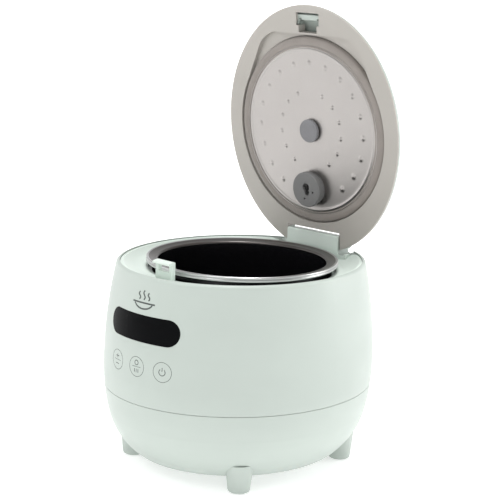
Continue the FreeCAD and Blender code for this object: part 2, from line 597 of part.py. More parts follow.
# ------------------------------------------------------------------ pot and heater
def inner_pot():
    top, drop = FLANGE_Z, FLANGE_DROP
    neck = POT_R - POT_WALL
    k = math.cos(math.radians(45))
    oc, ic = POT_CORNER, POT_CORNER - POT_WALL
    base = POT_BASE_Z
    out_mid = (POT_R - oc + oc * k, 0, base + oc - oc * k)
    in_mid = (neck - ic + ic * k, 0, base + POT_WALL + ic - ic * k)
    outline = [
        line((0, 0, base), (POT_R - oc, 0, base)),
        arc((POT_R - oc, 0, base), out_mid, (POT_R, 0, base + oc)),
        line((POT_R, 0, base + oc), (POT_R, 0, top - drop - FLANGE_T - 0.6)),
        line((POT_R, 0, top - drop - FLANGE_T - 0.6), (FLANGE_R - BEAD_R, 0, top - 2 * BEAD_R)),
        arc((FLANGE_R - BEAD_R, 0, top - 2 * BEAD_R), (FLANGE_R, 0, top - BEAD_R), (FLANGE_R - BEAD_R, 0, top)),
        line((FLANGE_R - BEAD_R, 0, top), (neck, 0, top - drop)),
        line((neck, 0, top - drop), (neck, 0, base + POT_WALL + ic)),
        arc((neck, 0, base + POT_WALL + ic), in_mid, (neck - ic, 0, base + POT_WALL)),
        line((neck - ic, 0, base + POT_WALL), (0, 0, base + POT_WALL)),
        line((0, 0, base + POT_WALL), (0, 0, base)),
    ]
    return turn(outline)


def heat_shield():
    """Sheet-metal can round the pot: wall, floor ring and top flange."""
    top = SHELF_Z - FIT
    wall = tube(LINER_R + LINER_WALL, LINER_R, top - LINER_FLOOR_Z, V(0, 0, LINER_FLOOR_Z))
    floor = tube(LINER_R + LINER_WALL, LINER_FLOOR_IN, LINER_WALL, V(0, 0, LINER_FLOOR_Z))
    flange = tube(LINER_FLANGE_R, LINER_R, LINER_WALL, V(0, 0, top - LINER_WALL))
    can = fuse([wall, floor, flange])
    holes = [cyl(2.0, 4, V(x, y, LINER_FLOOR_Z - 1)) for x, y in PLATE_POSTS]
    holes.append(box((-BOARD_HALF - 5, -LINER_FLANGE_R - 5, top - 4),
                     (BOARD_HALF + 5, -LINER_R - 9, top + 1)))
    return can.cut(holes[0].multiFuse(holes[1:]))


PLATE_POSTS = around(3, 62.0, 30.0)


def heating_plate():
    top = POT_BASE_Z - BODY_GAP
    disc = cyl(PLATE_R, PLATE_T, V(0, 0, top - PLATE_T))
    disc = disc.makeFillet(1.5, [e for e in disc.Edges if abs(e.BoundBox.ZMin - top) < 0.01])
    boss = tube(BOSS_OUT, BOSS_IN, BOSS_DEEP, V(0, 0, top - PLATE_T - BOSS_DEEP))
    posts = [cyl(4.0, top - PLATE_T - LINER_FLOOR_Z - LINER_WALL - FIT,
                 V(x, y, LINER_FLOOR_Z + LINER_WALL + FIT)) for x, y in PLATE_POSTS]
    plate = fuse([disc, boss] + posts)
    groove = Part.makeTorus(ELEMENT_RING_R, ELEMENT_TUBE_R + 0.1, V(0, 0, element_z()))
    bore = cyl(SENSOR_R + SENSOR_BORE_GAP, PLATE_T + 10, V(0, 0, top - PLATE_T - 5))
    holes = [groove, bore] + [cyl(1.6, 6, V(x, y, LINER_FLOOR_Z)) for x, y in PLATE_POSTS]
    return plate.cut(holes[0].multiFuse(holes[1:]))


def element_z():
    return POT_BASE_Z - BODY_GAP - PLATE_T - BOSS_DEEP + 1.0


def heating_element():
    """Sheathed ring, open at the back, with two cold ends that point down."""
    start = 20.0
    circle = Part.Circle(V(0, 0, element_z()), Z_DIR, ELEMENT_RING_R)
    ring = Part.Arc(circle, math.radians(90 + start), math.radians(450 - start)).toShape()
    angle = math.radians(90 + start)
    at = V(ELEMENT_RING_R * math.cos(angle), ELEMENT_RING_R * math.sin(angle), element_z())
    heading = V(-math.sin(angle), math.cos(angle), 0)
    section = Part.Wire(Part.Circle(at, heading, ELEMENT_TUBE_R).toShape())
    sheath = Part.Wire(ring).makePipeShell([section], True, True)
    ends = []
    for sign in (-1, 1):
        a = math.radians(90 + sign * start)
        x, y = ELEMENT_RING_R * math.cos(a), ELEMENT_RING_R * math.sin(a)
        ends.append(cyl(2.6, 12.0, V(x, y, element_z() - 12.0)))
    return fuse([sheath] + ends)


def plate_screws():
    return Part.makeCompound([screw(x, y, LINER_FLOOR_Z - 1.8, 1, 4.5, head_r=3.2, shank_r=1.5)
                              for x, y in PLATE_POSTS])


def sensor_cup():
    top = POT_BASE_Z - BODY_GAP
    can = cyl(SENSOR_R, SENSOR_T, V(0, 0, top - SENSOR_T))
    can = can.makeFillet(1.0, [e for e in can.Edges if abs(e.BoundBox.ZMin - top) < 0.01])
    stem = tube(4.0, 2.4, 12.0, V(0, 0, top - SENSOR_T - 12.0))
    return can.fuse(stem)


def sensor_spring():
    low = STRAP_Z + STRAP_T + 0.6
    high = POT_BASE_Z - BODY_GAP - SENSOR_T - 3.4
    return coil(7.0, 0.6, 2.8, high - low, V(0, 0, low))


def sensor_strap():
    """Steel strap under the plate: it carries the sensor's spring."""
    top = POT_BASE_Z - BODY_GAP - PLATE_T
    strap = box((-STRAP_HALF, -7, STRAP_Z), (STRAP_HALF, 7, STRAP_Z + STRAP_T))
    legs = [box((s * STRAP_HALF - 1.0, -7, STRAP_Z), (s * STRAP_HALF + 1.0, 7, top - 0.1)) for s in (-1, 1)]
    return fuse([strap] + legs).cut(cyl(4.0 + BODY_GAP, 8, V(0, 0, STRAP_Z - 3)))


def thermal_fuse():
    clip_z = LINER_FLOOR_Z
    body = cyl(3.0, 16.0, V(-68, -8, clip_z - 3.2), Y_DIR)
    clip = box((-72.5, -4, clip_z - 6.8), (-63.5, 4, clip_z)).cut(cyl(3.0, 10, V(-68, -5, clip_z - 3.2), Y_DIR))
    return body.fuse(clip)


# ------------------------------------------------------------------ lid
def opened(shape):
    shape = shape.copy()
    shape.rotate(HINGE, X_DIR, -LID_OPEN)
    return shape


def notch(grow=0.0, up=60.0):
    """Space in the lid's rear for the tower."""
    front = HINGE_Y - TOWER_FRONT - NOTCH_GAP + grow
    half = TOWER_HALF + NOTCH_GAP - NOTCH_SIDE - grow
    return box((-half, front, LID_Z - 20), (half, front + 60, LID_Z + up))


def lid_outer():
    return dome(LID_R, LID_HIGH, LID_EDGE_R, LID_Z)


def lid_inner(extra=0.0):
    wall = LID_WALL + extra
    return dome(LID_R - wall, LID_HIGH - wall, LID_EDGE_R - wall * 0.6, LID_Z)


def vent_top_z():
    crown = lid_outer().common(cyl(0.5, 80, V(0, VALVE_Y, LID_Z)))
    return crown.BoundBox.ZMax


def lid_cover():
    brim = oval(cyl(LID_R + 5, BRIM_T + FIT / 2 + 1, V(0, 0, LID_Z - 1)), LID_OVAL)
    shell = lid_outer().cut(lid_inner()).cut(brim)
    cup_z = vent_top_z() - VENT_CUP_DEEP
    cup = tube(VENT_CAP_R + LID_WALL, VENT_CAP_R + 0.4, VENT_CUP_DEEP + 3, V(0, VALVE_Y, cup_z))
    cup = cup.fuse(tube(VENT_CAP_R + LID_WALL, DUCT_R + DUCT_WALL + FIT, 2.0, V(0, VALVE_Y, cup_z - 2.0)))
    shell = shell.fuse(cup.common(lid_outer()))
    tray_top = LID_Z + RECESS_DEEP + TRAY_WALL
    bosses = [tube(3.4, 1.4, LID_HIGH, V(x, y, tray_top + FIT)) for x, y in LID_SCREWS]
    shell = fuse([shell] + [boss.common(lid_inner(-0.5)) for boss in bosses])
    mouth = cyl(VENT_CAP_R + 0.4, 20, V(0, VALVE_Y, cup_z))
    well = button_prism(BODY_GAP, 0.0, 40.0)
    knuckle_x = TOWER_HALF + NOTCH_GAP - NOTCH_SIDE
    knuckle = well_drum(KNUCKLE_R, KNUCKLE_HALF).cut(well_drum(KNUCKLE_R + 1, knuckle_x))
    shell = shell.cut(fuse([mouth, notch()])).cut(well).fuse(knuckle)
    return shell.cut(well_drum(HINGE_PIN_R + RUNNING, KNUCKLE_HALF + 1))


def button_prism(grow, low, high):
    """Upright rounded-rectangle prism over the button's outline."""
    half, r = BUTTON_HALF + grow, BUTTON_ROUND + grow
    y0, y1 = -BUTTON_OUT - grow, -BUTTON_IN + grow
    block = box((-half, y0, LID_Z + low), (half, y1, LID_Z + high))
    upright = [e for e in block.Edges if e.BoundBox.ZLength > high - low - 0.01]
    return block.makeFillet(r, upright)


def recess_outline(grow):
    """Round recess joined to the two front pockets, as a prism's face."""
    disc = Part.Face(Part.Wire(Part.Circle(V(0, 0, 0), Z_DIR, RECESS_R + grow).toShape()))
    front, start = -POCKET_FRONT - grow, POCKET_HALF
    lean = math.radians(62.0)
    end = (start + POCKET_ROUND * math.sin(lean), front + POCKET_ROUND * (1 - math.cos(lean)))
    mid = (start + POCKET_ROUND * math.sin(lean / 2), front + POCKET_ROUND * (1 - math.cos(lean / 2)))
    side = (POCKET_SIDE_X + grow, -POCKET_SIDE_Y)
    edges = [line((-start, front, 0), (start, front, 0))]
    for s in (1, -1):
        edges += [arc((s * start, front, 0), (s * mid[0], mid[1], 0), (s * end[0], end[1], 0)),
                  line((s * end[0], end[1], 0), (s * side[0], side[1], 0)),
                  line((s * side[0], side[1], 0), (s * (side[0] - 12), 0, 0))]
    edges.append(line((side[0] - 12, 0, 0), (12 - side[0], 0, 0)))
    pocket = Part.Face(Part.Wire(Part.__sortEdges__(edges)))
    return disc.fuse(pocket).removeSplitter()


def recess_prism(grow, low, high):
    face = recess_outline(grow)
    face.translate(V(0, 0, LID_Z + low))
    return face.extrude(V(0, 0, high - low))


def latch_slot():
    narrow = box((-SLOT_HALF, -SLOT_MID - 1, LID_Z - 1), (SLOT_HALF, -SLOT_IN, LID_Z + FRAME_T + 1))
    wide = box((-SLOT_WIDE_HALF, -SLOT_OUT, LID_Z - 1), (SLOT_WIDE_HALF, -SLOT_MID, LID_Z + FRAME_T + 1))
    return narrow.fuse(wide)


def slot_walls():
    """Walls that stand round the slot's narrow end and hide the lid's inside."""
    x, y0, y1, top = SLOT_HALF + SLOT_WALL, -SLOT_MID + FIT, -SLOT_IN + SLOT_WALL, LID_Z + SLOT_WALL_TALL
    block = box((-x, y0, LID_Z), (x, y1, top))
    return [block.cut(box((-SLOT_HALF, y0 - 1, LID_Z - 1), (SLOT_HALF, -SLOT_IN, top + 1)))]


def leg_pockets():
    """Room in the frame for the button's legs at the end of their travel."""
    floor = catch_low() - BUTTON_TRAVEL
    half = BUTTON_LEG_T / 2 + BODY_GAP
    return [box((s * BUTTON_LEG_X - half, -BUTTON_LEG_FRONT - BODY_GAP, floor),
                (s * BUTTON_LEG_X + half, -BUTTON_LEG_BACK + BODY_GAP, floor + 10)) for s in (-1, 1)]


LID_SCREWS = around(4, LID_SCREW_RING, 45.0)


def lid_frame():
    face = oval(cyl(LID_R - FRAME_INSET, FRAME_T, V(0, 0, LID_Z)), LID_OVAL).common(lid_inner(FIT))
    brim = cyl(LID_R - FRAME_INSET, BRIM_T, V(0, 0, LID_Z))
    brim = oval(brim.makeFillet(0.6, [e for e in brim.Edges if abs(e.BoundBox.ZMax - LID_Z) < 0.01]), LID_OVAL)
    walls = recess_prism(TRAY_WALL, 0.0, POCKET_DEEP + TRAY_WALL)
    tray = cyl(RECESS_R + TRAY_WALL, RECESS_DEEP + TRAY_WALL, V(0, 0, LID_Z))
    yoke = box((-YOKE_HALF, YOKE_FRONT, LID_Z), (YOKE_HALF, YOKE_FRONT + 60, LID_Z + 40))
    yoke = yoke.common(lid_inner(FIT))
    frame = fuse([face, brim, walls, tray, yoke] + catch_guides() + slot_walls())
    frame = frame.cut(recess_prism(0.0, -1.0, POCKET_DEEP)).cut(cyl(RECESS_R, RECESS_DEEP + 1, V(0, 0, LID_Z - 1)))
    cuts = [notch(), latch_slot(), well_drum(KNUCKLE_R + FIT, KNUCKLE_HALF + FIT),
            cyl(DUCT_R + DUCT_WALL + FIT, 20, V(0, VALVE_Y, LID_Z + 2))]
    cuts += [cyl(1.7, 20, V(x, y, LID_Z - 5)) for x, y in LID_SCREWS]
    cuts.append(cyl(POST_R - 1.5, 20, V(0, 0, LID_Z + RECESS_DEEP - 5)))
    cuts += leg_pockets()
    return frame.cut(cuts[0].multiFuse(cuts[1:]))


def lid_screws():
    return Part.makeCompound([screw(x, y, LID_Z + RECESS_DEEP - 1.6, 1, 4.6, shank_r=1.35,
                                    head_t=1.6) for x, y in LID_SCREWS])


def lid_post():
    """Post in the tray's centre, which the inner lid's knob snaps on."""
    top = LID_Z + RECESS_DEEP
    low = inner_top() + 1.0
    stem = cyl(POST_R, top - low, V(0, 0, low))
    groove = tube(POST_R + 1, POST_R - 0.8, 1.2, V(0, 0, low + 1.6))
    peg = cyl(POST_R - 1.5 - FIT / 2, TRAY_WALL + 2.0, V(0, 0, top - 0.01))
    head = cyl(POST_R + 1.5, 1.2, V(0, 0, top + TRAY_WALL + 0.2))
    return fuse([stem, peg, head]).cut(groove)


def steam_duct():
    low = LID_Z + RECESS_DEEP - 1.2
    high = vent_top_z() - VENT_CUP_DEEP + 1.0
    pipe = tube(DUCT_R + DUCT_WALL, DUCT_R, high - low, V(0, VALVE_Y, low))
    collar = tube(DUCT_R + DUCT_WALL + 2.0, DUCT_R + DUCT_WALL - 0.2, 1.0, V(0, VALVE_Y, low))
    return pipe.fuse(collar)


def vent_cap():
    """Lift-out steam cap with a ring of slots round a raised centre."""
    low = vent_top_z() - VENT_CUP_DEEP + BODY_GAP + 2.2
    high = vent_top_z() + VENT_CAP_PROUD
    cap = cyl(VENT_CAP_R, high - low, V(0, VALVE_Y, low))
    cap = cap.makeFillet(2.0, [e for e in cap.Edges if abs(e.BoundBox.ZMin - high) < 0.01])
    hollow = cyl(VENT_CAP_R - 1.6, high - low - 2.0, V(0, VALVE_Y, low - 0.01))
    slots = []
    for x, y in around(12, 10.5, 15.0):
        slot = box((-2.6, -0.9, low), (2.6, 0.9, high + 1))
        slot.rotate(V(0, 0, 0), Z_DIR, math.degrees(math.atan2(y, x)))
        slot.translate(V(x, VALVE_Y + y, 0))
        slots.append(slot)
    return cap.cut(hollow.multiFuse(slots))


def vent_baffle():
    """Inner cup of the steam cap, which catches drips."""
    low = vent_top_z() - VENT_CUP_DEEP + BODY_GAP
    floor = cyl(VENT_CAP_R - 0.2, 1.6, V(0, VALVE_Y, low))
    rim = tube(VENT_CAP_R - 2.0, VENT_CAP_R - 3.4, 3.6, V(0, VALVE_Y, low + 1.6))
    cup = floor.fuse(rim)
    holes = [cyl(1.6, 4, V(x, VALVE_Y + y, low - 1)) for x, y in around(4, 5.0, 45.0)]
    keep_out = tube(DUCT_R + DUCT_WALL + BODY_GAP, DUCT_R - BODY_GAP, 1.0 + BODY_GAP, V(0, VALVE_Y, low - 0.4))
    return cup.cut(holes[0].multiFuse(holes[1:] + [keep_out]))


# ------------------------------------------------------------------ latch
def catch_low():
    return LID_Z + FRAME_T + BODY_GAP


def catch_tip_y():
    return -HOOK_Y - HOOK_T - BARB_OUT + CATCH_ENGAGE


def latch_button():
    """Button pad that follows the lid's crown, with two wedge-ended legs."""
    under = dome(LID_R - BUTTON_T, LID_HIGH - BUTTON_T, LID_EDGE_R - 0.6 * BUTTON_T, LID_Z)
    pad = button_prism(0.0, 0.0, 40.0).common(lid_outer()).cut(under)
    foot = catch_low() + BODY_GAP
    legs = []
    for side in (-1, 1):
        x = side * BUTTON_LEG_X - BUTTON_LEG_T / 2
        wedge = BUTTON_LEG_FRONT - BUTTON_LEG_BACK
        view = [(x, -BUTTON_LEG_BACK, foot), (x, -BUTTON_LEG_BACK, LID_Z + 20),
                (x, -BUTTON_LEG_FRONT, LID_Z + 20), (x, -BUTTON_LEG_FRONT, foot + wedge)]
        leg = polygon_prism(view, X_DIR, BUTTON_LEG_T)
        legs.append(leg.common(dome(LID_R - 0.5, LID_HIGH - 0.5, LID_EDGE_R - 0.3, LID_Z)))
    return fuse([pad] + legs)


def latch_catch():
    """Sliding catch: a claw that holds the hook's barb, and two ramped wings."""
    low = catch_low()
    tip, claw_top = catch_tip_y(), HOOK_TOP_Z - BARB_DEEP - BODY_GAP
    claw_view = [(-CATCH_HALF, -CATCH_FRONT, low), (-CATCH_HALF, -CATCH_FRONT, low + CATCH_T),
                 (-CATCH_HALF, tip - 3.4, claw_top), (-CATCH_HALF, tip, claw_top),
                 (-CATCH_HALF, tip - 1.8, low)]
    claw = polygon_prism(claw_view, X_DIR, 2 * CATCH_HALF)
    bar = box((-CATCH_WING_OUT, -CATCH_FRONT, low), (CATCH_WING_OUT, -CATCH_FRONT + 3.0, low + CATCH_T))
    gap = BODY_GAP * math.sqrt(2)
    wedge = BUTTON_LEG_FRONT - BUTTON_LEG_BACK
    wings = []
    for side in (-1, 1):
        x = side * BUTTON_LEG_X - BUTTON_LEG_T / 2 - 0.4
        foot_y = -BUTTON_LEG_BACK - gap - BODY_GAP
        view = [(x, -CATCH_FRONT, low), (x, foot_y, low), (x, foot_y - wedge, low + wedge),
                (x, foot_y - wedge - 1.6, low + wedge), (x, -CATCH_FRONT, low + CATCH_T)]
        wings.append(polygon_prism(view, X_DIR, BUTTON_LEG_T + 0.8))
    catch = fuse([claw, bar] + wings)
    return catch.common(lid_inner(FIT + BODY_GAP))


def catch_guides():
    """Ribs on the lid frame: one each side of the catch and one behind its springs."""
    low, high = LID_Z + FRAME_T - 0.2, catch_low() + CATCH_T
    x_in = CATCH_WING_OUT + BODY_GAP
    ribs = [box((s * (x_in + 0.75) - 0.75, -CATCH_FRONT - 2, low),
                (s * (x_in + 0.75) + 0.75, -BUTTON_LEG_BACK, high)) for s in (-1, 1)]
    stop_y = -CATCH_FRONT - LATCH_SPRING_LONG - 0.2
    ribs.append(box((-x_in, stop_y - 1.0, low), (x_in, stop_y, high - 0.4)))
    return [rib.common(lid_inner(FIT)) for rib in ribs]


def latch_springs():
    """The catch's two coils, as long as they are with the button pressed."""
    z = catch_low() + LATCH_SPRING_R + LATCH_SPRING_WIRE
    base_y = -CATCH_FRONT - BUTTON_TRAVEL - LATCH_SPRING_WIRE - FIT
    height = LATCH_SPRING_LONG - BUTTON_TRAVEL - 2 * LATCH_SPRING_WIRE - FIT
    return Part.makeCompound([coil(LATCH_SPRING_R, LATCH_SPRING_WIRE, 0.65, height,
                                   V(s * BUTTON_LEG_X, base_y, z), V(0, -1, 0)) for s in (-1, 1)])


# ------------------------------------------------------------------ inner lid
def inner_low():
    return LID_Z - INNER_DROP


def inner_top():
    return inner_low() + INNER_T


def inner_plate():
    low = inner_low()
    disc = cyl(INNER_R, INNER_T, V(0, 0, low))
    bumps = []
    for ring, shares, first, last, foot in DIMPLE_RINGS:
        places = around(shares, ring, -90.0)
        for x, y in [places[i] for i in range(-last, last + 1) if abs(i) >= first]:
            radius = (foot ** 2 + DIMPLE_HIGH ** 2) / (2 * DIMPLE_HIGH)
            ball = Part.makeSphere(radius, V(x, y, low - DIMPLE_HIGH + radius))
            bumps.append(ball.common(cyl(foot + 1, DIMPLE_HIGH + 0.3, V(x, y, low - DIMPLE_HIGH))))
    holes = [cyl(POST_R + 1.6, 4, V(0, 0, low - 2)), cyl(VALVE_NECK_R + 0.1, 4, V(0, VALVE_Y, low - 2))]
    return disc.multiFuse(bumps).cut(holes[0].fuse(holes[1]))


def lid_gasket():
    """Silicone ring that grips the inner lid's edge and seals on the pot."""
    low = LID_Z + GASKET_LIP
    ring = tube(GASKET_OUT, GASKET_IN, GASKET_H - GASKET_LIP, V(0, 0, low))
    lip_in = tube(GASKET_IN + 2.0, GASKET_IN, low - inner_low() + GASKET_BEAD,
                  V(0, 0, inner_low() - GASKET_BEAD))
    outer = [e for e in ring.Edges if abs(e.BoundBox.ZMax - low) < 0.01 and e.BoundBox.XMax > GASKET_OUT - 0.1]
    ring = ring.makeFillet(1.6, outer).fuse(lip_in)
    groove = cyl(INNER_R + FIT / 2, INNER_T + FIT / 2, V(0, 0, inner_low() - FIT / 4))
    return ring.cut(groove).removeSplitter()


def centre_knob():
    low = inner_low() - KNOB_H
    cap = cyl(KNOB_R, KNOB_H - 0.1, V(0, 0, low))
    cap = cap.makeFillet(1.0, [e for e in cap.Edges if abs(e.BoundBox.ZMax - low) < 0.01])
    neck = cyl(POST_R + 1.5, INNER_T + 0.2, V(0, 0, inner_low() - 0.1))
    return cap.fuse(neck)


def steam_valve():
    """Valve body: a neck through the inner lid under a wide round base."""
    low = inner_low() - VALVE_H + VALVE_CAP_H
    base = cyl(VALVE_R - 1.2, VALVE_H - VALVE_CAP_H - 0.1, V(0, VALVE_Y, low))
    neck = cyl(VALVE_NECK_R, RECESS_DEEP - 2.6, V(0, VALVE_Y, low))
    bore = cyl(4.4, 30, V(0, VALVE_Y, low - 5))
    return base.fuse(neck).cut(bore)


def valve_cap():
    """Removable outer cap of the valve, with its steam holes."""
    low = inner_low() - VALVE_H
    cap = cyl(VALVE_R, VALVE_CAP_H, V(0, VALVE_Y, low))
    cap = cap.makeFillet(1.0, [e for e in cap.Edges if abs(e.BoundBox.ZMax - low) < 0.01])
    hole = fuse([cyl(3.8, 8, V(0, VALVE_Y - 2.2, low - 1)), cyl(2.8, 8, V(1.0, VALVE_Y + 2.4, low - 1))])
    pins = [cyl(0.9, 8, V(x, VALVE_Y + y, low - 1)) for x, y in ((8.0, 1.6), (-1.8, 8.2))]
    return cap.cut(hole.multiFuse(pins)).cut(cyl(VALVE_R - 1.2 + FIT, 1.6, V(0, VALVE_Y, low + VALVE_CAP_H - 1.6)))


# ------------------------------------------------------------------ wiring
def mains_leads():
    y = INLET_FACE_Y - INLET_DEEP - 6
    entry_z = POWER_Z + BOARD_T + TERMINAL_UP
    wires = []
    for (x, z), end_x in zip(INLET_PINS[::2], TERMINAL_X):
        side_x = end_x + 15
        wires.append(lead([(x, y - 0.2, z), (x, y - 12, z), (side_x, y - 30, 40), (side_x, 10, 40),
                           (end_x + 4, -34, 38), (end_x, -42, entry_z), (end_x, TERMINAL_Y - 0.2, entry_z)], 1.2))
    return Part.makeCompound(wires)


def panel_ribbon():
    """Flat ribbon from the control board down to the power board."""
    x0, x1, t = RIBBON_X, RIBBON_X + RIBBON_W, RIBBON_T
    plug_y = -BOARD_Y + BOARD_T + 5 + 0.1
    drop_y, plug_z, board_y = plug_y + 4.0, 99.0, -POWER_HALF_Y + 6
    runs = [box((x0, plug_y, plug_z), (x1, drop_y + t, plug_z + t)),
            box((x0, drop_y, RIBBON_Z), (x1, drop_y + t, plug_z + t)),
            box((x0, drop_y, RIBBON_Z), (x1, board_y + t, RIBBON_Z + t)),
            box((x0, board_y, POWER_Z + BOARD_T + 0.1), (x1, board_y + t, RIBBON_Z + t))]
    return fuse(runs)


def main():
    parts = {
        "lower_casing": lower_casing(), "feet": feet(), "foot_pads": foot_pads(), "bottom_cover": bottom_cover(),
        "cover_screws": cover_screws(), "inlet_socket": inlet_socket(), "inlet_pins": inlet_pins(),
        "inlet_screws": inlet_screws(), "power_board": power_board(), "board_screws": board_screws(),
        "relay": relay(), "transformer": transformer(), "capacitors": capacitors(),
        "terminal_block": terminal_block(), "upper_casing": upper_casing(),
        "display_window": display_window(), "display_module": display_module(),
        "control_board": control_board(), "panel_bracket": panel_bracket(),
        "touch_springs": touch_springs(), "top_frame": top_frame(), "hinge_pin": hinge_pin(),
        "hinge_springs": hinge_springs(), "heat_shield": heat_shield(),
        "heating_plate": heating_plate(), "heating_element": heating_element(),
        "plate_screws": plate_screws(), "sensor_spring": sensor_spring(),
        "sensor_strap": sensor_strap(), "thermal_fuse": thermal_fuse(),
        "mains_leads": mains_leads(), "panel_ribbon": panel_ribbon(),
        "sensor_cup": sensor_cup(), "inner_pot": inner_pot(),
    }
    lid = {
        "lid_cover": lid_cover(), "lid_frame": lid_frame(), "lid_screws": lid_screws(),
        "lid_post": lid_post(), "steam_duct": steam_duct(), "latch_springs": latch_springs(),
        "latch_button": latch_button(), "latch_catch": latch_catch(), "vent_cap": vent_cap(),
        "vent_baffle": vent_baffle(), "inner_plate": inner_plate(), "lid_gasket": lid_gasket(),
        "centre_knob": centre_knob(), "steam_valve": steam_valve(), "valve_cap": valve_cap(),
    }
    parts.update({name: opened(shape) for name, shape in lid.items()})
    os.makedirs("parts", exist_ok=True)
    for name, shape in parts.items():
        shape.exportStep("parts/%s.step" % name)
        box_ = shape.BoundBox
        print("%-16s valid %s solids %d vol %.0f z %.1f..%.1f" % (
            name, shape.isValid(), len(shape.Solids), shape.Volume, box_.ZMin, box_.ZMax))


main()
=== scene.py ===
import json
import math

import bmesh
import bpy
import numpy as np
from mathutils import Matrix, Vector


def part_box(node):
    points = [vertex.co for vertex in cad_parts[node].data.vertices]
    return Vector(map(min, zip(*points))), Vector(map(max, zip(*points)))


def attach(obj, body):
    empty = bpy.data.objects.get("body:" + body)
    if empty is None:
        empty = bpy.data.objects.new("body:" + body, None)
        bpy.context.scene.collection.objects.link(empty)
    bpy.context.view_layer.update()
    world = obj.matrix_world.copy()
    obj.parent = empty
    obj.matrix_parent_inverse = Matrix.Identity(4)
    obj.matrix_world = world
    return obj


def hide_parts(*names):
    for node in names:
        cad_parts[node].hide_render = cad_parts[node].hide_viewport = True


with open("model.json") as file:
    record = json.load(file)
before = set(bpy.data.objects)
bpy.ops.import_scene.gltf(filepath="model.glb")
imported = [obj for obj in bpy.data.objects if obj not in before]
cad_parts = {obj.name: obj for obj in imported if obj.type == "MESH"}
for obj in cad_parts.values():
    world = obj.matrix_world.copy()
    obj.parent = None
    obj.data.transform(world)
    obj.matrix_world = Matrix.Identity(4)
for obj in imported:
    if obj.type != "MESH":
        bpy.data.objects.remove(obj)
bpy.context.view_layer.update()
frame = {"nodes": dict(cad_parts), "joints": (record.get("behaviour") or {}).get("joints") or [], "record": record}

# A small oval rice cooker with its lid open, on a pale floor.  Metres; +Z up, front towards -Y.
MM = 0.001


# ------------------------------------------------------------------ places read from the frame
def joint(name):
    """The frame's joint of this name."""
    return next(j for j in frame["joints"] if j["name"] == name)


LID_HINGE = joint("lid_hinge")
HINGE_Y, HINGE_Z = LID_HINGE["pos_m"][1], LID_HINGE["pos_m"][2]
LID_OPEN = math.radians(-LID_HINGE["range_deg"][0])


def lid_opened(points):
    """Closed-lid coordinates turned back about the hinge line, to where the open lid rests."""
    y, z = points[..., 1] - HINGE_Y, points[..., 2] - HINGE_Z
    c, s = math.cos(LID_OPEN), math.sin(LID_OPEN)
    return np.stack([points[..., 0], HINGE_Y + y * c + z * s, HINGE_Z - y * s + z * c], -1)


def lid_closed(points):
    """The other way round: where a point of the open lid goes when the lid is shut."""
    y, z = points[..., 1] - HINGE_Y, points[..., 2] - HINGE_Z
    c, s = math.cos(LID_OPEN), math.sin(LID_OPEN)
    return np.stack([points[..., 0], HINGE_Y + y * c - z * s, HINGE_Z + y * s + z * c], -1)


def node_points(node):
    """All points of a CAD node, in metres."""
    mesh = frame["nodes"][node].data
    co = np.zeros(len(mesh.vertices) * 3, np.float32)
    mesh.vertices.foreach_get("co", co)
    return co.reshape(-1, 3).astype(float)


def closed_box(node):
    """Lowest and highest corner of a lid node, with the lid shut."""
    points = lid_closed(node_points(node))
    return points.min(0), points.max(0)


# ------------------------------------------------------------------ mesh makers
def add_mesh(name, points, faces):
    """A smooth-shaded mesh object at the origin, with its place in its points."""
    mesh = bpy.data.meshes.new(name)
    mesh.from_pydata(points.reshape(-1, 3), [], faces)
    mesh.update()
    mesh.polygons.foreach_set("use_smooth", np.full(len(mesh.polygons), True))
    piece = bpy.data.objects.new(name, mesh)
    bpy.context.scene.collection.objects.link(piece)
    return piece


def grid_faces(rows, columns, close_rows=False, close_columns=False):
    """Quads of a grid whose points are stored row by row; either way round may close on itself."""
    r = np.arange(rows if close_rows else rows - 1)[:, None]
    c = np.arange(columns if close_columns else columns - 1)[None, :]
    r2, c2 = (r + 1) % rows, (c + 1) % columns
    quads = np.stack([r * columns + c, r * columns + c2, r2 * columns + c2, r2 * columns + c], -1)
    return quads.reshape(-1, 4)


def turned(name, profile, steps, place=None):
    """A closed ring profile (radius, height), carried once round the upright axis.

    A point at radius r and height h goes, at angle a, to r (cos a, sin a) and height h.
    """
    angle = np.linspace(0, 2 * math.pi, steps, endpoint=False)[:, None]
    radius, height = profile[None, :, 0], profile[None, :, 1]
    points = np.stack([radius * np.cos(angle), radius * np.sin(angle), height + 0 * angle], -1)
    if place is not None:
        points = place(points)
    faces = grid_faces(steps, profile.shape[0], close_rows=True, close_columns=True)
    return close_up(add_mesh(name, points, faces.tolist()))


def close_up(piece):
    """Merges points that fell together and turns every face outwards."""
    work = bmesh.new()
    work.from_mesh(piece.data)
    bmesh.ops.remove_doubles(work, verts=work.verts, dist=2e-6)
    bmesh.ops.recalc_face_normals(work, faces=work.faces)
    work.to_mesh(piece.data)
    work.free()
    piece.data.polygons.foreach_set("use_smooth", np.full(len(piece.data.polygons), True))
    return piece


def rounded(corners, radii, steps=6):
    """Profile with its corners rounded.

    Each corner is replaced by a quadratic curve between the two points that lie its radius away
    along its sides.
    """
    corners = np.asarray(corners, float)
    before, after = np.roll(corners, 1, 0), np.roll(corners, -1, 0)
    t = np.linspace(0, 1, steps)[:, None]
    pieces = []
    for p, a, b, r in zip(corners, before, after, radii):
        if r == 0:
            pieces.append(p[None, :])
            continue
        start = p + (a - p) * min(r / np.linalg.norm(a - p), 0.5)
        end = p + (b - p) * min(r / np.linalg.norm(b - p), 0.5)
        pieces.append((1 - t) ** 2 * start + 2 * t * (1 - t) * p + t ** 2 * end)
    return np.concatenate(pieces)


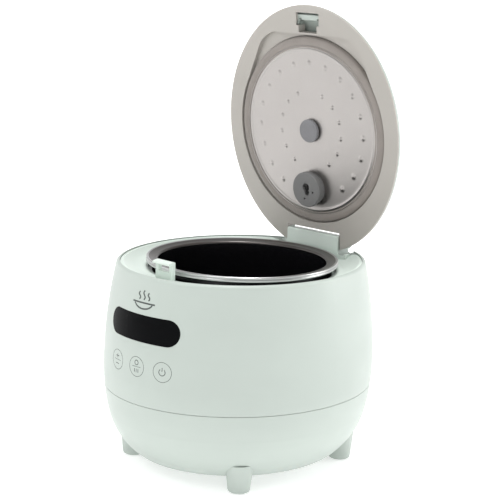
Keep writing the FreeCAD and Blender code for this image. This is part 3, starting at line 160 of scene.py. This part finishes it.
def refine(profile, longest):
    """Adds points along a closed profile so that no side is longer than a given length."""
    after = np.roll(profile, -1, 0)
    runs = []
    for a, b in zip(profile, after):
        count = max(1, int(math.ceil(np.linalg.norm(b - a) / longest)))
        runs.append(a + (b - a) * np.linspace(0, 1, count, endpoint=False)[:, None])
    return np.concatenate(runs)


# ------------------------------------------------------------------ materials
class Finish:
    """A node material on object coordinates, with short calls for the nodes that it needs."""

    def __init__(self, name, colour, roughness, **sockets):
        self.material = bpy.data.materials.new(name)
        self.material.use_nodes = True
        self.nodes = self.material.node_tree.nodes
        self.links = self.material.node_tree.links
        self.shader = self.nodes["Principled BSDF"]
        self.shader.inputs["Base Color"].default_value = (*colour, 1)
        self.shader.inputs["Roughness"].default_value = roughness
        for socket, value in sockets.items():
            self.shader.inputs[socket.replace("_", " ")].default_value = value
        self.material.diffuse_color = (*colour, 1)
        self.coordinates = self.nodes.new("ShaderNodeTexCoord").outputs["Object"]
        self.bumped = None

    def join(self, output, socket):
        self.links.new(output, socket)

    def stretched(self, scale, turn=(0, 0, 0)):
        node = self.nodes.new("ShaderNodeMapping")
        node.inputs["Scale"].default_value = scale
        node.inputs["Rotation"].default_value = turn
        self.join(self.coordinates, node.inputs["Vector"])
        return node.outputs["Vector"]

    def noise(self, scale, detail=2.0, vector=None):
        node = self.nodes.new("ShaderNodeTexNoise")
        node.inputs["Scale"].default_value = scale
        node.inputs["Detail"].default_value = detail
        self.join(vector or self.coordinates, node.inputs["Vector"])
        return node.outputs["Fac"]

    def cells(self, scale, vector=None):
        node = self.nodes.new("ShaderNodeTexVoronoi")
        node.inputs["Scale"].default_value = scale
        self.join(vector or self.coordinates, node.inputs["Vector"])
        return node.outputs["Distance"]

    def math(self, operation, a, b=0.0):
        node = self.nodes.new("ShaderNodeMath")
        node.operation = operation
        for socket, value in zip(node.inputs, (a, b)):
            if isinstance(value, (int, float)):
                socket.default_value = value
            else:
                self.join(value, socket)
        return node.outputs["Value"]

    def spread(self, value, low, high, from_low=0.3, from_high=0.7):
        node = self.nodes.new("ShaderNodeMapRange")
        node.inputs["From Min"].default_value = from_low
        node.inputs["From Max"].default_value = from_high
        node.inputs["To Min"].default_value = low
        node.inputs["To Max"].default_value = high
        self.join(value, node.inputs["Value"])
        return node.outputs["Result"]

    def mixed(self, factor, first, second):
        node = self.nodes.new("ShaderNodeMix")
        node.data_type = "RGBA"
        for socket, value in ((node.inputs[6], first), (node.inputs[7], second)):
            if isinstance(value, tuple):
                socket.default_value = (*value, 1)
            else:
                self.join(value, socket)
        self.join(factor, node.inputs[0])
        return node.outputs[2]

    def axes(self):
        node = self.nodes.new("ShaderNodeSeparateXYZ")
        self.join(self.coordinates, node.inputs["Vector"])
        return node.outputs

    def coloured(self, output):
        self.join(output, self.shader.inputs["Base Color"])
        return self

    def mottled(self, pattern, low, high):
        """Colour that drifts between two values with the middle range of a pattern."""
        return self.coloured(self.mixed(self.spread(pattern, 0.0, 1.0), low, high))

    def roughened(self, output):
        self.join(output, self.shader.inputs["Roughness"])
        return self

    def grained(self, height, depth, strength=1.0):
        """Bump of a given depth in metres, over any bump already there."""
        node = self.nodes.new("ShaderNodeBump")
        node.inputs["Distance"].default_value = depth
        node.inputs["Strength"].default_value = strength
        self.join(height, node.inputs["Height"])
        if self.bumped is not None:
            self.join(self.bumped, node.inputs["Normal"])
        self.bumped = node.outputs["Normal"]
        self.join(self.bumped, self.shader.inputs["Normal"])
        return self


def lighter(colour, amount):
    return tuple(min(1.0, c * (1 + amount)) for c in colour)


def satin_plastic(name, colour, roughness=0.42, grain=0.00001, drift=0.025):
    """Moulded plastic: a fine even spark grain, faint flow marks, and gloss that drifts a little."""
    finish = Finish(name, colour, roughness, Specular_IOR_Level=0.42)
    flow = finish.noise(9.0, 3.0, finish.stretched((1.0, 1.0, 2.2)))
    finish.mottled(flow, lighter(colour, -drift), lighter(colour, drift))
    finish.roughened(finish.spread(finish.noise(35.0, 4.0), roughness - 0.04, roughness + 0.05))
    finish.grained(finish.noise(1900.0, 2.0), grain, 0.5)
    return finish.grained(finish.noise(14.0, 1.0), 0.00006, 0.25)


def gloss_plastic(name, colour, roughness=0.12):
    """Polished moulding with slight orange peel and dust-fine haze."""
    finish = Finish(name, colour, roughness, Specular_IOR_Level=0.5, Coat_Weight=0.6,
                    Coat_Roughness=0.05)
    finish.roughened(finish.spread(finish.noise(60.0, 5.0), roughness - 0.04, roughness + 0.08))
    finish.coloured(finish.mixed(finish.noise(20.0), lighter(colour, -0.1), lighter(colour, 0.25)))
    return finish.grained(finish.noise(220.0, 1.0), 0.00001, 0.2)


def smoked_lens():
    """The window: deep black with a low, slightly uneven polish."""
    finish = Finish("smoked_lens", (0.003, 0.0032, 0.0035), 0.16, Specular_IOR_Level=0.03)
    finish.roughened(finish.spread(finish.noise(60.0, 5.0), 0.12, 0.22))
    finish.coloured(finish.mixed(finish.noise(20.0), (0.0022, 0.0025, 0.003), (0.0034, 0.0036, 0.004)))
    return finish.grained(finish.noise(220.0, 1.0), 0.00001, 0.2)


def soft_silicone(name, colour, roughness=0.55):
    """Silicone or rubber: soft sheen, tiny pores, and a powdery bloom."""
    finish = Finish(name, colour, roughness, Specular_IOR_Level=0.35, Sheen_Weight=0.25,
                    Sheen_Roughness=0.5)
    bloom = finish.noise(70.0, 5.0)
    finish.mottled(bloom, lighter(colour, -0.05), lighter(colour, 0.06))
    finish.roughened(finish.spread(finish.noise(120.0, 3.0), roughness - 0.07, roughness + 0.07))
    return finish.grained(finish.cells(1400.0), 0.00001, 0.35)


def sheet_metal(name, colour, roughness=0.35, streak=(4.0, 4.0, 240.0), depth=0.000004):
    """Rolled or drawn metal: long fine streaks along the rolling, cloudy gloss."""
    finish = Finish(name, colour, roughness, Metallic=1.0)
    lines = finish.noise(6.0, 6.0, finish.stretched(streak))
    finish.mottled(lines, lighter(colour, -0.08), lighter(colour, 0.05))
    finish.roughened(finish.spread(finish.noise(24.0, 4.0), roughness - 0.07, roughness + 0.1))
    return finish.grained(lines, depth, 0.4)


def cast_metal(name, colour, roughness=0.5):
    """Cast and lightly machined metal: a pebbled skin with darker hollows."""
    finish = Finish(name, colour, roughness, Metallic=1.0)
    skin = finish.noise(420.0, 4.0)
    finish.mottled(skin, lighter(colour, -0.18), lighter(colour, 0.05))
    finish.roughened(finish.spread(skin, roughness + 0.12, roughness - 0.05))
    return finish.grained(skin, 0.00004, 0.5)


def drawn_wire(name, colour, roughness=0.28):
    """Bright spring wire and plated screws: fine draw lines and faint darker patches."""
    finish = Finish(name, colour, roughness, Metallic=1.0)
    patches = finish.noise(160.0, 5.0)
    finish.mottled(patches, lighter(colour, -0.25), lighter(colour, 0.1))
    finish.roughened(finish.spread(finish.noise(500.0, 2.0), roughness - 0.06, roughness + 0.12))
    return finish.grained(finish.noise(2400.0), 0.000003, 0.3)


def blasted_aluminium():
    """The inner lid: bead-blasted, anodised aluminium with a very fine sparkle."""
    colour = (0.36, 0.342, 0.33)
    finish = Finish("blasted_aluminium", colour, 0.36, Metallic=1.0)
    cloud = finish.noise(16.0, 3.0)
    finish.mottled(cloud, lighter(colour, -0.03), lighter(colour, 0.03))
    finish.roughened(finish.spread(finish.noise(900.0, 2.0), 0.31, 0.42))
    return finish.grained(finish.noise(3000.0, 2.0), 0.000004, 0.4)


def pot_coating():
    """The pot: black glossy coating inside, gray satin flange, bare rolled rim, coated outside.

    Height and radius decide where each finish ends, with a narrow soft edge between them.
    """
    low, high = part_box("inner_pot")
    finish = Finish("pot_coating", (0.006, 0.006, 0.007), 0.2, Specular_IOR_Level=0.5)
    x, y, z = finish.axes()
    squares = finish.math("ADD", finish.math("MULTIPLY", x, x), finish.math("MULTIPLY", y, y))
    radius = finish.math("SQRT", squares)
    bead_start = high.x - 2.3 * MM
    bare = finish.spread(radius, 0.0, 1.0, bead_start - 0.1 * MM, bead_start + 0.1 * MM)
    flange_start = high.x - 10.0 * MM
    flange_low = high.z - 3.6 * MM
    far_out = finish.spread(radius, 0.0, 1.0, flange_start - 0.4 * MM, flange_start)
    high_up = finish.spread(z, 0.0, 1.0, flange_low, flange_low + 0.3 * MM)
    on_flange = finish.math("MULTIPLY", far_out, high_up)
    specks = finish.spread(finish.cells(900.0), 1.0, 0.0, 0.06, 0.16)
    black = finish.mixed(specks, (0.005, 0.005, 0.006), (0.03, 0.03, 0.032))
    dark = finish.mixed(on_flange, black, (0.085, 0.078, 0.074))
    finish.coloured(finish.mixed(bare, dark, (0.55, 0.55, 0.55)))
    smooth = finish.spread(on_flange, 0.17, 0.34, 0.0, 1.0)
    satin = finish.math("ADD", finish.math("MULTIPLY", finish.math("SUBTRACT", 1.0, bare), smooth),
                        finish.math("MULTIPLY", bare, 0.3))
    finish.roughened(satin)
    metal = finish.math("MAXIMUM", bare, finish.math("MULTIPLY", on_flange, 0.6))
    finish.join(metal, finish.shader.inputs["Metallic"])
    return finish.grained(finish.noise(2400.0, 2.0), 0.000002, 0.2)


def circuit_board():
    """Green solder mask over lighter copper tracks on a square pitch."""
    finish = Finish("circuit_board", (0.02, 0.12, 0.05), 0.35, Coat_Weight=0.5, Coat_Roughness=0.15)
    tracks = finish.nodes.new("ShaderNodeTexBrick")
    tracks.inputs["Scale"].default_value = 160.0
    tracks.inputs["Mortar Size"].default_value = 0.06
    tracks.inputs["Color1"].default_value = (0.015, 0.11, 0.045, 1)
    tracks.inputs["Color2"].default_value = (0.02, 0.14, 0.06, 1)
    tracks.inputs["Mortar"].default_value = (0.10, 0.26, 0.12, 1)
    finish.join(finish.coordinates, tracks.inputs["Vector"])
    finish.coloured(finish.mixed(finish.noise(30.0), tracks.outputs["Color"], (0.02, 0.12, 0.05)))
    finish.roughened(finish.spread(finish.noise(80.0), 0.28, 0.42))
    return finish.grained(tracks.outputs["Fac"], 0.00004, 0.4)


def copper_winding():
    """Enamelled wire wound in level turns, seen as fine ridges one above the other."""
    finish = Finish("copper_winding", (0.50, 0.20, 0.08), 0.3, Metallic=0.9)
    wave = finish.nodes.new("ShaderNodeTexWave")
    wave.bands_direction = "Z"
    wave.inputs["Scale"].default_value = 320.0
    finish.join(finish.coordinates, wave.inputs["Vector"])
    # The colour follows the ridges: darker between the turns as painted shade and lighter on their tops as painted
    # highlight.
    finish.coloured(finish.mixed(wave.outputs["Fac"], (0.30, 0.10, 0.04), (0.62, 0.28, 0.11)))
    finish.roughened(finish.spread(finish.noise(90.0), 0.24, 0.4))
    return finish.grained(wave.outputs["Fac"], 0.0001, 0.6)


def wire_sleeve():
    """Woven glass sleeve on the mains leads: a fine diagonal plait."""
    finish = Finish("wire_sleeve", (0.72, 0.72, 0.68), 0.7, Sheen_Weight=0.3)
    plait = finish.cells(1100.0, finish.stretched((1.0, 1.0, 0.6), (0.6, 0.4, 0.7)))
    woven = finish.spread(plait, 0.0, 1.0, 0.1, 0.6)
    finish.coloured(finish.mixed(woven, (0.60, 0.60, 0.56), (0.80, 0.80, 0.77)))
    finish.roughened(finish.spread(finish.noise(200.0), 0.6, 0.8))
    return finish.grained(plait, 0.0001, 0.6)


def printed_ink():
    """Pad-printed ink: matt gray-green with slightly uneven cover."""
    finish = Finish("printed_ink", (0.09, 0.11, 0.10), 0.6)
    cover = finish.noise(900.0, 3.0)
    finish.mottled(cover, (0.045, 0.055, 0.05), (0.075, 0.088, 0.082))
    return finish.roughened(finish.spread(finish.noise(300.0), 0.5, 0.68))


MINT = (0.425, 0.475, 0.44)


def frame_mint():
    """The top frame's mint: lighter than the casing's as painted light, and darker than the casing's behind the
    tower's front edge as painted shade in the hinge well.
    """
    # Painted light: the whole frame is half again as light as the casing's mint.
    finish = satin_plastic("frame_mint", lighter(MINT, 0.5), 0.38)
    painted_light_colour = finish.shader.inputs["Base Color"].links[0].from_socket
    # Painted shade: behind the tower's front edge the colour changes to a mint darker than the casing's, in the
    # hinge well and beside the tower.
    edge, blend = HINGE_Y - 6.4 * MM, 0.6 * MM
    behind = finish.spread(finish.axes()[1], 0.0, 1.0, edge, edge + blend)
    return finish.coloured(finish.mixed(behind, painted_light_colour, lighter(MINT, -0.12)))


FINISHES = {
    "mint_plastic": satin_plastic("mint_plastic", MINT, 0.4),
    "warm_gray_plastic": satin_plastic("warm_gray_plastic", (0.40, 0.38, 0.35), 0.45, 0.000012),
    "black_lens": smoked_lens(),
    "lid_aluminium": blasted_aluminium(),
    "gasket_silicone": soft_silicone("gasket_silicone", (0.24, 0.215, 0.195), 0.5),
    "knob_silicone": soft_silicone("knob_silicone", (0.19, 0.19, 0.20), 0.5),
    "valve_plastic": satin_plastic("valve_plastic", (0.16, 0.16, 0.158), 0.45),
    "nonstick_pot": pot_coating(),
    "rubber_pad": soft_silicone("rubber_pad", (0.30, 0.33, 0.31), 0.7),
    "zinc_steel": sheet_metal("zinc_steel", (0.52, 0.53, 0.54), 0.38),
    "cast_aluminium": cast_metal("cast_aluminium", (0.60, 0.61, 0.62)),
    "spring_steel": drawn_wire("spring_steel", (0.55, 0.55, 0.57)),
    "screw_steel": drawn_wire("screw_steel", (0.50, 0.50, 0.51), 0.32),
    "element_steel": sheet_metal("element_steel", (0.30, 0.28, 0.27), 0.5),
    "board": circuit_board(),
    "black_plastic": satin_plastic("black_plastic", (0.018, 0.018, 0.019), 0.5, drift=0.15),
    "pin_brass": drawn_wire("pin_brass", (0.62, 0.50, 0.26), 0.25),
    "copper_parts": copper_winding(),
    "capacitor_film": gloss_plastic("capacitor_film", (0.02, 0.04, 0.16), 0.22),
    "relay_plastic": gloss_plastic("relay_plastic", (0.03, 0.12, 0.40), 0.3),
    "wire_sheath": wire_sleeve(),
    "white_plastic": satin_plastic("white_plastic", (0.74, 0.74, 0.72), 0.45),
}
INK = printed_ink()
# Top frame mint, with painted light and painted shade.
FRAME_MINT_PAINTED_LIGHT_AND_SHADE = frame_mint()


def finish_frame():
    """Every CAD node gets the finish of its slot; the top frame gets a mint with painted light and painted shade
    in it.
    """
    for subpart in frame["record"]["subparts"]:
        # The top frame takes the mint with painted light and painted shade.
        finish = FRAME_MINT_PAINTED_LIGHT_AND_SHADE if subpart["node"] == "top_frame" else FINISHES[subpart["material_slot"]]
        for material_slot in frame["nodes"][subpart["node"]].material_slots:
            material_slot.material = finish.material


def finished(piece, slot, body, *nodes):
    """Gives a new piece its finish and its body, and hides the CAD nodes that it stands for."""
    piece.data.materials.append(FINISHES[slot].material)
    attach(piece, body)
    if nodes:
        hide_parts(*nodes)
    return piece


# ------------------------------------------------------------------ inner lid
def bump(distance, foot):
    """Pressed bump: half a cosine wave from its top to its foot."""
    return np.where(distance < foot, 0.5 + 0.5 * np.cos(math.pi * distance / foot), 0.0)


def inner_lid_sheet():
    """Pressed sheet of the inner lid.

    The face at radius r and angle a lies at the sheet's plane, lowered by a cosine bump round each
    point of two rings of bumps, by a round bead near the rim and by a shallow dish round the knob.
    Each ring is shared out evenly from the front, with no bumps where the valve stands.  The back is
    the same surface, one sheet behind.
    """
    low, high = closed_box("inner_plate")
    rim = (high[0] - low[0]) / 2
    plane = high[2] - 0.8 * MM
    knob_hole = 6.6 * MM
    bead_r, bead_half, bead_tall = 71.5 * MM, 1.9 * MM, 0.55 * MM
    dish_start, dish_wide, dish_end, dish_deep = 10 * MM, 14 * MM, 24 * MM, 0.25 * MM
    # Each ring: its radius, its shares of a turn, the first and last share used to either side of
    # the front, and each bump's foot and height.
    rings = ((59.7 * MM, 20, 0, 8, 3.4 * MM, 0.8 * MM), (34.6 * MM, 15, 1, 6, 2.6 * MM, 0.75 * MM))
    # Grid lines across the sheet, close together where the bumps and the bead are.
    edges = [9, 14, 22, 30, 31.8, 37.4, 38.5, 46, 55, 56.0, 63.4, 66, 69.6, 73.4, 74.9]
    counts = [2, 2, 2, 2, 2, 14, 2, 2, 3, 2, 18, 2, 2, 9, 3]
    edges = [knob_hole] + [e * MM for e in edges]
    bands = [np.linspace(a, b, n, endpoint=False) for a, b, n in zip(edges, edges[1:], counts)]
    radius = np.concatenate(bands + [[rim]])
    steps = 720
    angle = np.linspace(0, 2 * math.pi, steps, endpoint=False)[:, None]
    x, y = radius * np.cos(angle), radius * np.sin(angle)
    drop = np.zeros_like(x)
    from_front = (angle + math.pi / 2 + math.pi) % (2 * math.pi) - math.pi
    for ring, shares, first, last, foot, tall in rings:
        turn = 2 * math.pi / shares
        place = np.round(from_front / turn)
        there = (np.abs(place) >= first) & (np.abs(place) <= last)
        away = np.hypot(radius * np.sin(from_front) - ring * np.sin(place * turn),
                        radius * np.cos(from_front) - ring * np.cos(place * turn))
        drop += tall * bump(away, foot) * there
    drop += bead_tall * bump(np.abs(radius - bead_r), bead_half) + 0 * angle
    drop += dish_deep * (1 - bump(radius - dish_start, dish_wide)) * (radius < dish_end)
    drop += dish_deep * (radius >= dish_end)
    drop -= dish_deep
    thick = 0.6 * MM
    face = np.stack([x, y, plane - drop], -1)
    back = np.stack([x, y, plane - drop + thick], -1)[:, ::-1]
    loop = np.concatenate([face, back], 1)
    piece = add_mesh("inner_lid_sheet", lid_opened(loop),
                     grid_faces(steps, loop.shape[1], close_rows=True, close_columns=True).tolist())
    return finished(close_up(piece), "lid_aluminium", "inner_lid", "inner_plate")


def gasket_ring():
    """Silicone seal: a turned profile with a thin inner lip, a crowned face and a round outer edge."""
    low, high = closed_box("lid_gasket")
    outer = (high[0] - low[0]) / 2
    inner = outer - 9.5 * MM
    face, back = low[2], high[2]
    profile = rounded(
        [(inner, face + 0.25 * MM), (inner + 0.9 * MM, face), (inner + 1.8 * MM, face + 0.9 * MM),
         (outer - 4.2 * MM, face + 0.35 * MM), (outer - 1.1 * MM, face + 1.0 * MM), (outer, face + 2.6 * MM),
         (outer, back), (inner + 2.4 * MM, back), (inner + 2.4 * MM, face + 2.0 * MM),
         (inner, face + 1.0 * MM)],
        [0.3 * MM, 0.5 * MM, 0.9 * MM, 2.0 * MM, 1.2 * MM, 1.2 * MM, 0.6 * MM, 0.6 * MM, 0.3 * MM, 0.2 * MM])
    piece = turned("gasket_ring", profile, 256, place=lid_opened)
    return finished(piece, "gasket_silicone", "inner_lid", "lid_gasket")


def knob_cap():
    """Centre knob: a turned cap with a soft edge, a slightly hollow top and a waist behind it."""
    low, high = closed_box("centre_knob")
    radius = (high[0] - low[0]) / 2
    top = low[2]
    flat, deep, cap, waist = radius - 2.4 * MM, 0.28 * MM, 3.5 * MM, 6.4 * MM
    hollow = np.linspace(0, flat, 8)
    dished = np.stack([hollow, top + deep * (1 - (hollow / flat) ** 2)], 1)
    side = rounded([(radius, top), (radius, top + 3.1 * MM), (radius - 1.4 * MM, top + cap),
                    (waist, top + cap), (waist, high[2]), (0, high[2])],
                   [1.1 * MM, 0.5 * MM, 0.4 * MM, 0.2 * MM, 0.2 * MM, 0])
    piece = turned("knob_cap", np.concatenate([dished, side]), 128, place=lid_opened)
    return finished(piece, "knob_silicone", "inner_lid", "centre_knob")


# ------------------------------------------------------------------ pot
def arc_points(centre, radius, start, end, count):
    """Points along an arc between two angles in half turns, measured from straight out."""
    turn = np.linspace(start * math.pi, end * math.pi, count)
    return np.asarray(centre) + radius * np.stack([np.cos(turn), np.sin(turn)], 1)


def pot_shell():
    """Inner pot: a turned profile with a rolled rim.

    The wall goes down straight, round a corner and across the floor, inside and out, one wall
    thickness apart.  The flange is nearly flat, rolls over into the wall inside, and ends outside in
    two beads one above the other, each a bit less than half a circle in section.
    """
    low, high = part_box("inner_pot")
    rim, top, base = high.x, high.z, low.z
    wall, corner_r = 2.0 * MM, 20.0 * MM
    outer, neck = rim - 8.1 * MM, rim - 10.1 * MM
    upper, lower = 1.05 * MM, 1.2 * MM
    outer_corner = arc_points((outer - corner_r, base + corner_r), corner_r, -0.5, 0, 14)
    outside = np.concatenate([[[0.0, base]], outer_corner,
                              [[outer, top - 5.4 * MM], [outer + 1.0 * MM, top - 4.5 * MM]]])
    low_bead = arc_points((rim - lower, top - 3.25 * MM), lower, -0.55, 0.36, 14)
    high_bead = arc_points((rim - 0.12 * MM - upper, top - upper), upper, -0.34, 0.56, 14)
    flat = np.array([[rim - 3.4 * MM, top - 0.75 * MM], [neck + 2.4 * MM, top - 1.55 * MM]])
    roll_r = 1.9 * MM
    roll_in = arc_points((neck + roll_r, top - 3.45 * MM), roll_r, 0.5, 1.0, 9)
    inner_r = corner_r - wall
    inside = arc_points((neck - inner_r, base + wall + inner_r), inner_r, 0, -0.5, 14)
    profile = np.concatenate([outside, low_bead, high_bead, flat, roll_in, inside, [[0.0, base + wall]]])
    piece = turned("pot_shell", refine(profile, 9.0 * MM), 288)
    return finished(piece, "nonstick_pot", "pot", "inner_pot")


# ------------------------------------------------------------------ printing on the front
BELLY_Z, LIP_Z, LIP_R, BODY_OVAL = 88.0 * MM, 177.1 * MM, 100.8 * MM, 1.11
BELLY_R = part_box("upper_casing")[1].x
INK_PROUD, INK_DEEP = 0.03 * MM, 0.12 * MM


def front_wall(x, z, proud):
    """Depth of the casing's front at x and z.

    The casing is an oval in plan, whose half width follows one arc from the belly to the lip.
    """
    reach = BELLY_R - LIP_R
    arc_r = (reach ** 2 + (LIP_Z - BELLY_Z) ** 2) / (2 * reach)
    half = BELLY_R - arc_r + np.sqrt(arc_r ** 2 - (z - BELLY_Z) ** 2)
    return -BODY_OVAL * np.sqrt(half ** 2 - x ** 2) - proud


def ink_line(path, width, closed=False):
    """A printed line on the front wall.

    Its two edges lie half a width each side of the path, just proud of the wall and just under it.
    """
    path = np.asarray(path, float)
    if closed:
        along = np.roll(path, -1, 0) - np.roll(path, 1, 0)
    else:
        along = np.gradient(path, axis=0)
    along /= np.linalg.norm(along, axis=1)[:, None]
    across = np.stack([-along[:, 1], along[:, 0]], 1) * width / 2
    left, right = path + across, path - across
    edges = [(left, INK_PROUD), (right, INK_PROUD), (right, -INK_DEEP), (left, -INK_DEEP)]
    points = np.stack([np.stack([p[:, 0], front_wall(p[:, 0], p[:, 1], proud), p[:, 1]], 1)
                       for p, proud in edges], 1)
    faces = grid_faces(len(path), 4, close_rows=closed, close_columns=True).tolist()
    if not closed:
        last = (len(path) - 1) * 4
        faces += [[0, 1, 2, 3], [last + 3, last + 2, last + 1, last]]
    return points.reshape(-1, 3), faces


def ink_piece(name, lines):
    """Joins printed lines into one piece on the casing."""
    points, faces, start = [], [], 0
    for line_points, line_faces in lines:
        points.append(line_points)
        faces += [[start + i for i in face] for face in line_faces]
        start += len(line_points)
    piece = close_up(add_mesh(name, np.concatenate(points), faces))
    piece.data.materials.append(INK.material)
    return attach(piece, "base")


def arc_path(x, z, radius, start=0.0, end=360.0, steps=72):
    """Arc on the front, between two angles in degrees."""
    turn = np.radians(np.linspace(start, end, steps, endpoint=abs(end - start) < 360))
    return np.stack([x + radius * np.cos(turn), z + radius * np.sin(turn)], 1)


def bar(x, z, half, upright=False):
    """Straight stroke on the front, half a length each way from its middle."""
    t = np.linspace(-half, half, 9)
    return np.stack([x + 0 * t, z + t], 1) if upright else np.stack([x + t, z + 0 * t], 1)


def touch_keys():
    """Three printed rings, with a plus and minus, a clock and bars, and an on mark in them."""
    key_x, key_z, pitch, ring_r = 1.1 * MM, 104.0 * MM, 26.2 * MM, 8.2 * MM
    pen, bold = 0.36 * MM, 0.6 * MM
    above, below = key_z + 3.2 * MM, key_z - 3.2 * MM
    for name, x in (("left", key_x - pitch), ("middle", key_x), ("right", key_x + pitch)):
        lines = [ink_line(arc_path(x, key_z, ring_r), pen, closed=True)]
        if name == "left":
            lines += [ink_line(bar(x, above, 2.4 * MM), bold),
                      ink_line(bar(x, above, 1.7 * MM, True), bold),
                      ink_line(bar(x, key_z, 4.8 * MM), pen),
                      ink_line(bar(x, below, 2.4 * MM), bold)]
        elif name == "middle":
            dial = arc_path(x, key_z + 3.4 * MM, 1.9 * MM, steps=40)
            lines += [ink_line(dial, bold, closed=True), ink_line(bar(x, key_z, 4.8 * MM), pen)]
            lines += [ink_line(bar(x + i * 2.1 * MM, key_z - 3.3 * MM, 1.5 * MM, True), bold)
                      for i in (-1, 0, 1)]
        else:
            lines += [ink_line(arc_path(x, key_z, 2.8 * MM, 130.0, 410.0, 40), bold),
                      ink_line(bar(x, key_z + 2.2 * MM, 1.6 * MM, True), bold)]
        ink_piece(f"touch_key_{name}", lines)


def steam_mark():
    """Plain mark over the window: a bowl under three wavy lines of steam."""
    mark_x, mark_z, half, pen = 2.0 * MM, 157.8 * MM, 10.4 * MM, 1.3 * MM
    bowl = arc_path(mark_x, mark_z, half, 200.0, 340.0, 40)
    bowl[:, 1] = mark_z + (bowl[:, 1] - mark_z) * 0.6
    rim = bar(mark_x, mark_z - 1.4 * MM, half + 2.0 * MM)
    lines = [ink_line(bowl, pen), ink_line(rim, pen)]
    rise = np.linspace(0, 1, 33)
    for i in (-1, 0, 1):
        tall = (7.4 - 1.4 * abs(i)) * MM
        wave = np.stack([mark_x + i * 5.2 * MM + 1.1 * MM * np.sin(2 * math.pi * rise),
                         mark_z + 1.0 * MM + tall * rise], 1)
        lines.append(ink_line(wave, pen))
    ink_piece("steam_mark", lines)


# ------------------------------------------------------------------ studio
FOCUS = Vector((0.0, 0.0, 0.19))


def camera():
    """Camera a little above the lip, turned to the cooker's right front corner, with a slight lean."""
    azimuth, pitch, roll, yaw = (math.radians(v) for v in (43.51, 11.793, 1.744, 0.281))
    away, high = 1.3159, 0.45925
    heading = azimuth - yaw
    ahead = Vector((-math.sin(heading) * math.cos(pitch), math.cos(heading) * math.cos(pitch),
                    -math.sin(pitch)))
    level = Vector((math.cos(heading), math.sin(heading), 0))
    over = level.cross(ahead)
    right = level * math.cos(roll) + over * math.sin(roll)
    up = over * math.cos(roll) - level * math.sin(roll)
    data = bpy.data.cameras.new("camera")
    data.lens, data.sensor_width = 113.16, 36.0
    data.clip_start, data.clip_end = 0.05, 20.0
    view = bpy.data.objects.new("camera", data)
    place = Matrix.Translation((away * math.sin(azimuth), -away * math.cos(azimuth), high))
    view.matrix_world = place @ Matrix((right, up, -ahead)).transposed().to_4x4()
    bpy.context.scene.collection.objects.link(view)
    bpy.context.scene.camera = view


def softbox(name, place, size, power):
    """White area light that looks at the cooker."""
    data = bpy.data.lights.new(name, "AREA")
    data.shape, data.size, data.size_y = "RECTANGLE", size[0], size[1]
    data.energy = power
    light = bpy.data.objects.new(name, data)
    light.location = place
    light.rotation_euler = (Vector(place) - FOCUS).to_track_quat("Z", "Y").to_euler()
    bpy.context.scene.collection.objects.link(light)


def sweep():
    """Pale floor: flat near the cooker, then a quarter circle up into a low rim all the way round."""
    flat, rise, steps = 2.4, 0.8, 128
    turn = np.linspace(0, math.pi / 2, 13)
    radius = np.concatenate([[0.05, 0.6, 1.5], flat + rise * np.sin(turn)])
    height = np.concatenate([[0, 0, 0], rise * (1 - np.cos(turn))])
    angle = np.linspace(0, 2 * math.pi, steps, endpoint=False)[:, None]
    points = np.stack([radius * np.cos(angle), radius * np.sin(angle), height + 0 * angle], -1)
    count = len(radius)
    faces = grid_faces(steps, count, close_rows=True).tolist() + [[i * count for i in range(steps)]]
    floor = add_mesh("floor", points, faces)
    pale = Finish("pale_floor", (0.9, 0.9, 0.9), 0.9, Emission_Color=(1, 1, 1, 1),
                  Emission_Strength=0.45)
    pale.coloured(pale.mixed(pale.noise(3.0), (0.89, 0.89, 0.89), (0.91, 0.91, 0.91)))
    floor.data.materials.append(pale.material)


def studio():
    """White floor under an even pale surround, with soft boxes overhead, in front and at both sides."""
    scene = bpy.context.scene
    scene.view_settings.view_transform = "Standard"
    world = scene.world or bpy.data.worlds.new("studio")
    scene.world = world
    world.use_nodes = True
    surround = world.node_tree.nodes["Background"]
    surround.inputs["Color"].default_value = (1, 1, 1, 1)
    surround.inputs["Strength"].default_value = 0.42
    softbox("over", (0.1, 0.0, 3.5), (0.9, 0.9), 95.0)
    softbox("front", (0.1, -1.9, 1.9), (0.7, 0.7), 10.0)
    softbox("right", (1.35, 1.75, 0.8), (1.0, 1.4), 21.0)
    softbox("left", (-1.6, -1.0, 0.8), (0.8, 1.4), 4.0)
    sweep()


finish_frame()
inner_lid_sheet()
gasket_ring()
knob_cap()
pot_shell()
touch_keys()
steam_mark()
camera()
studio()
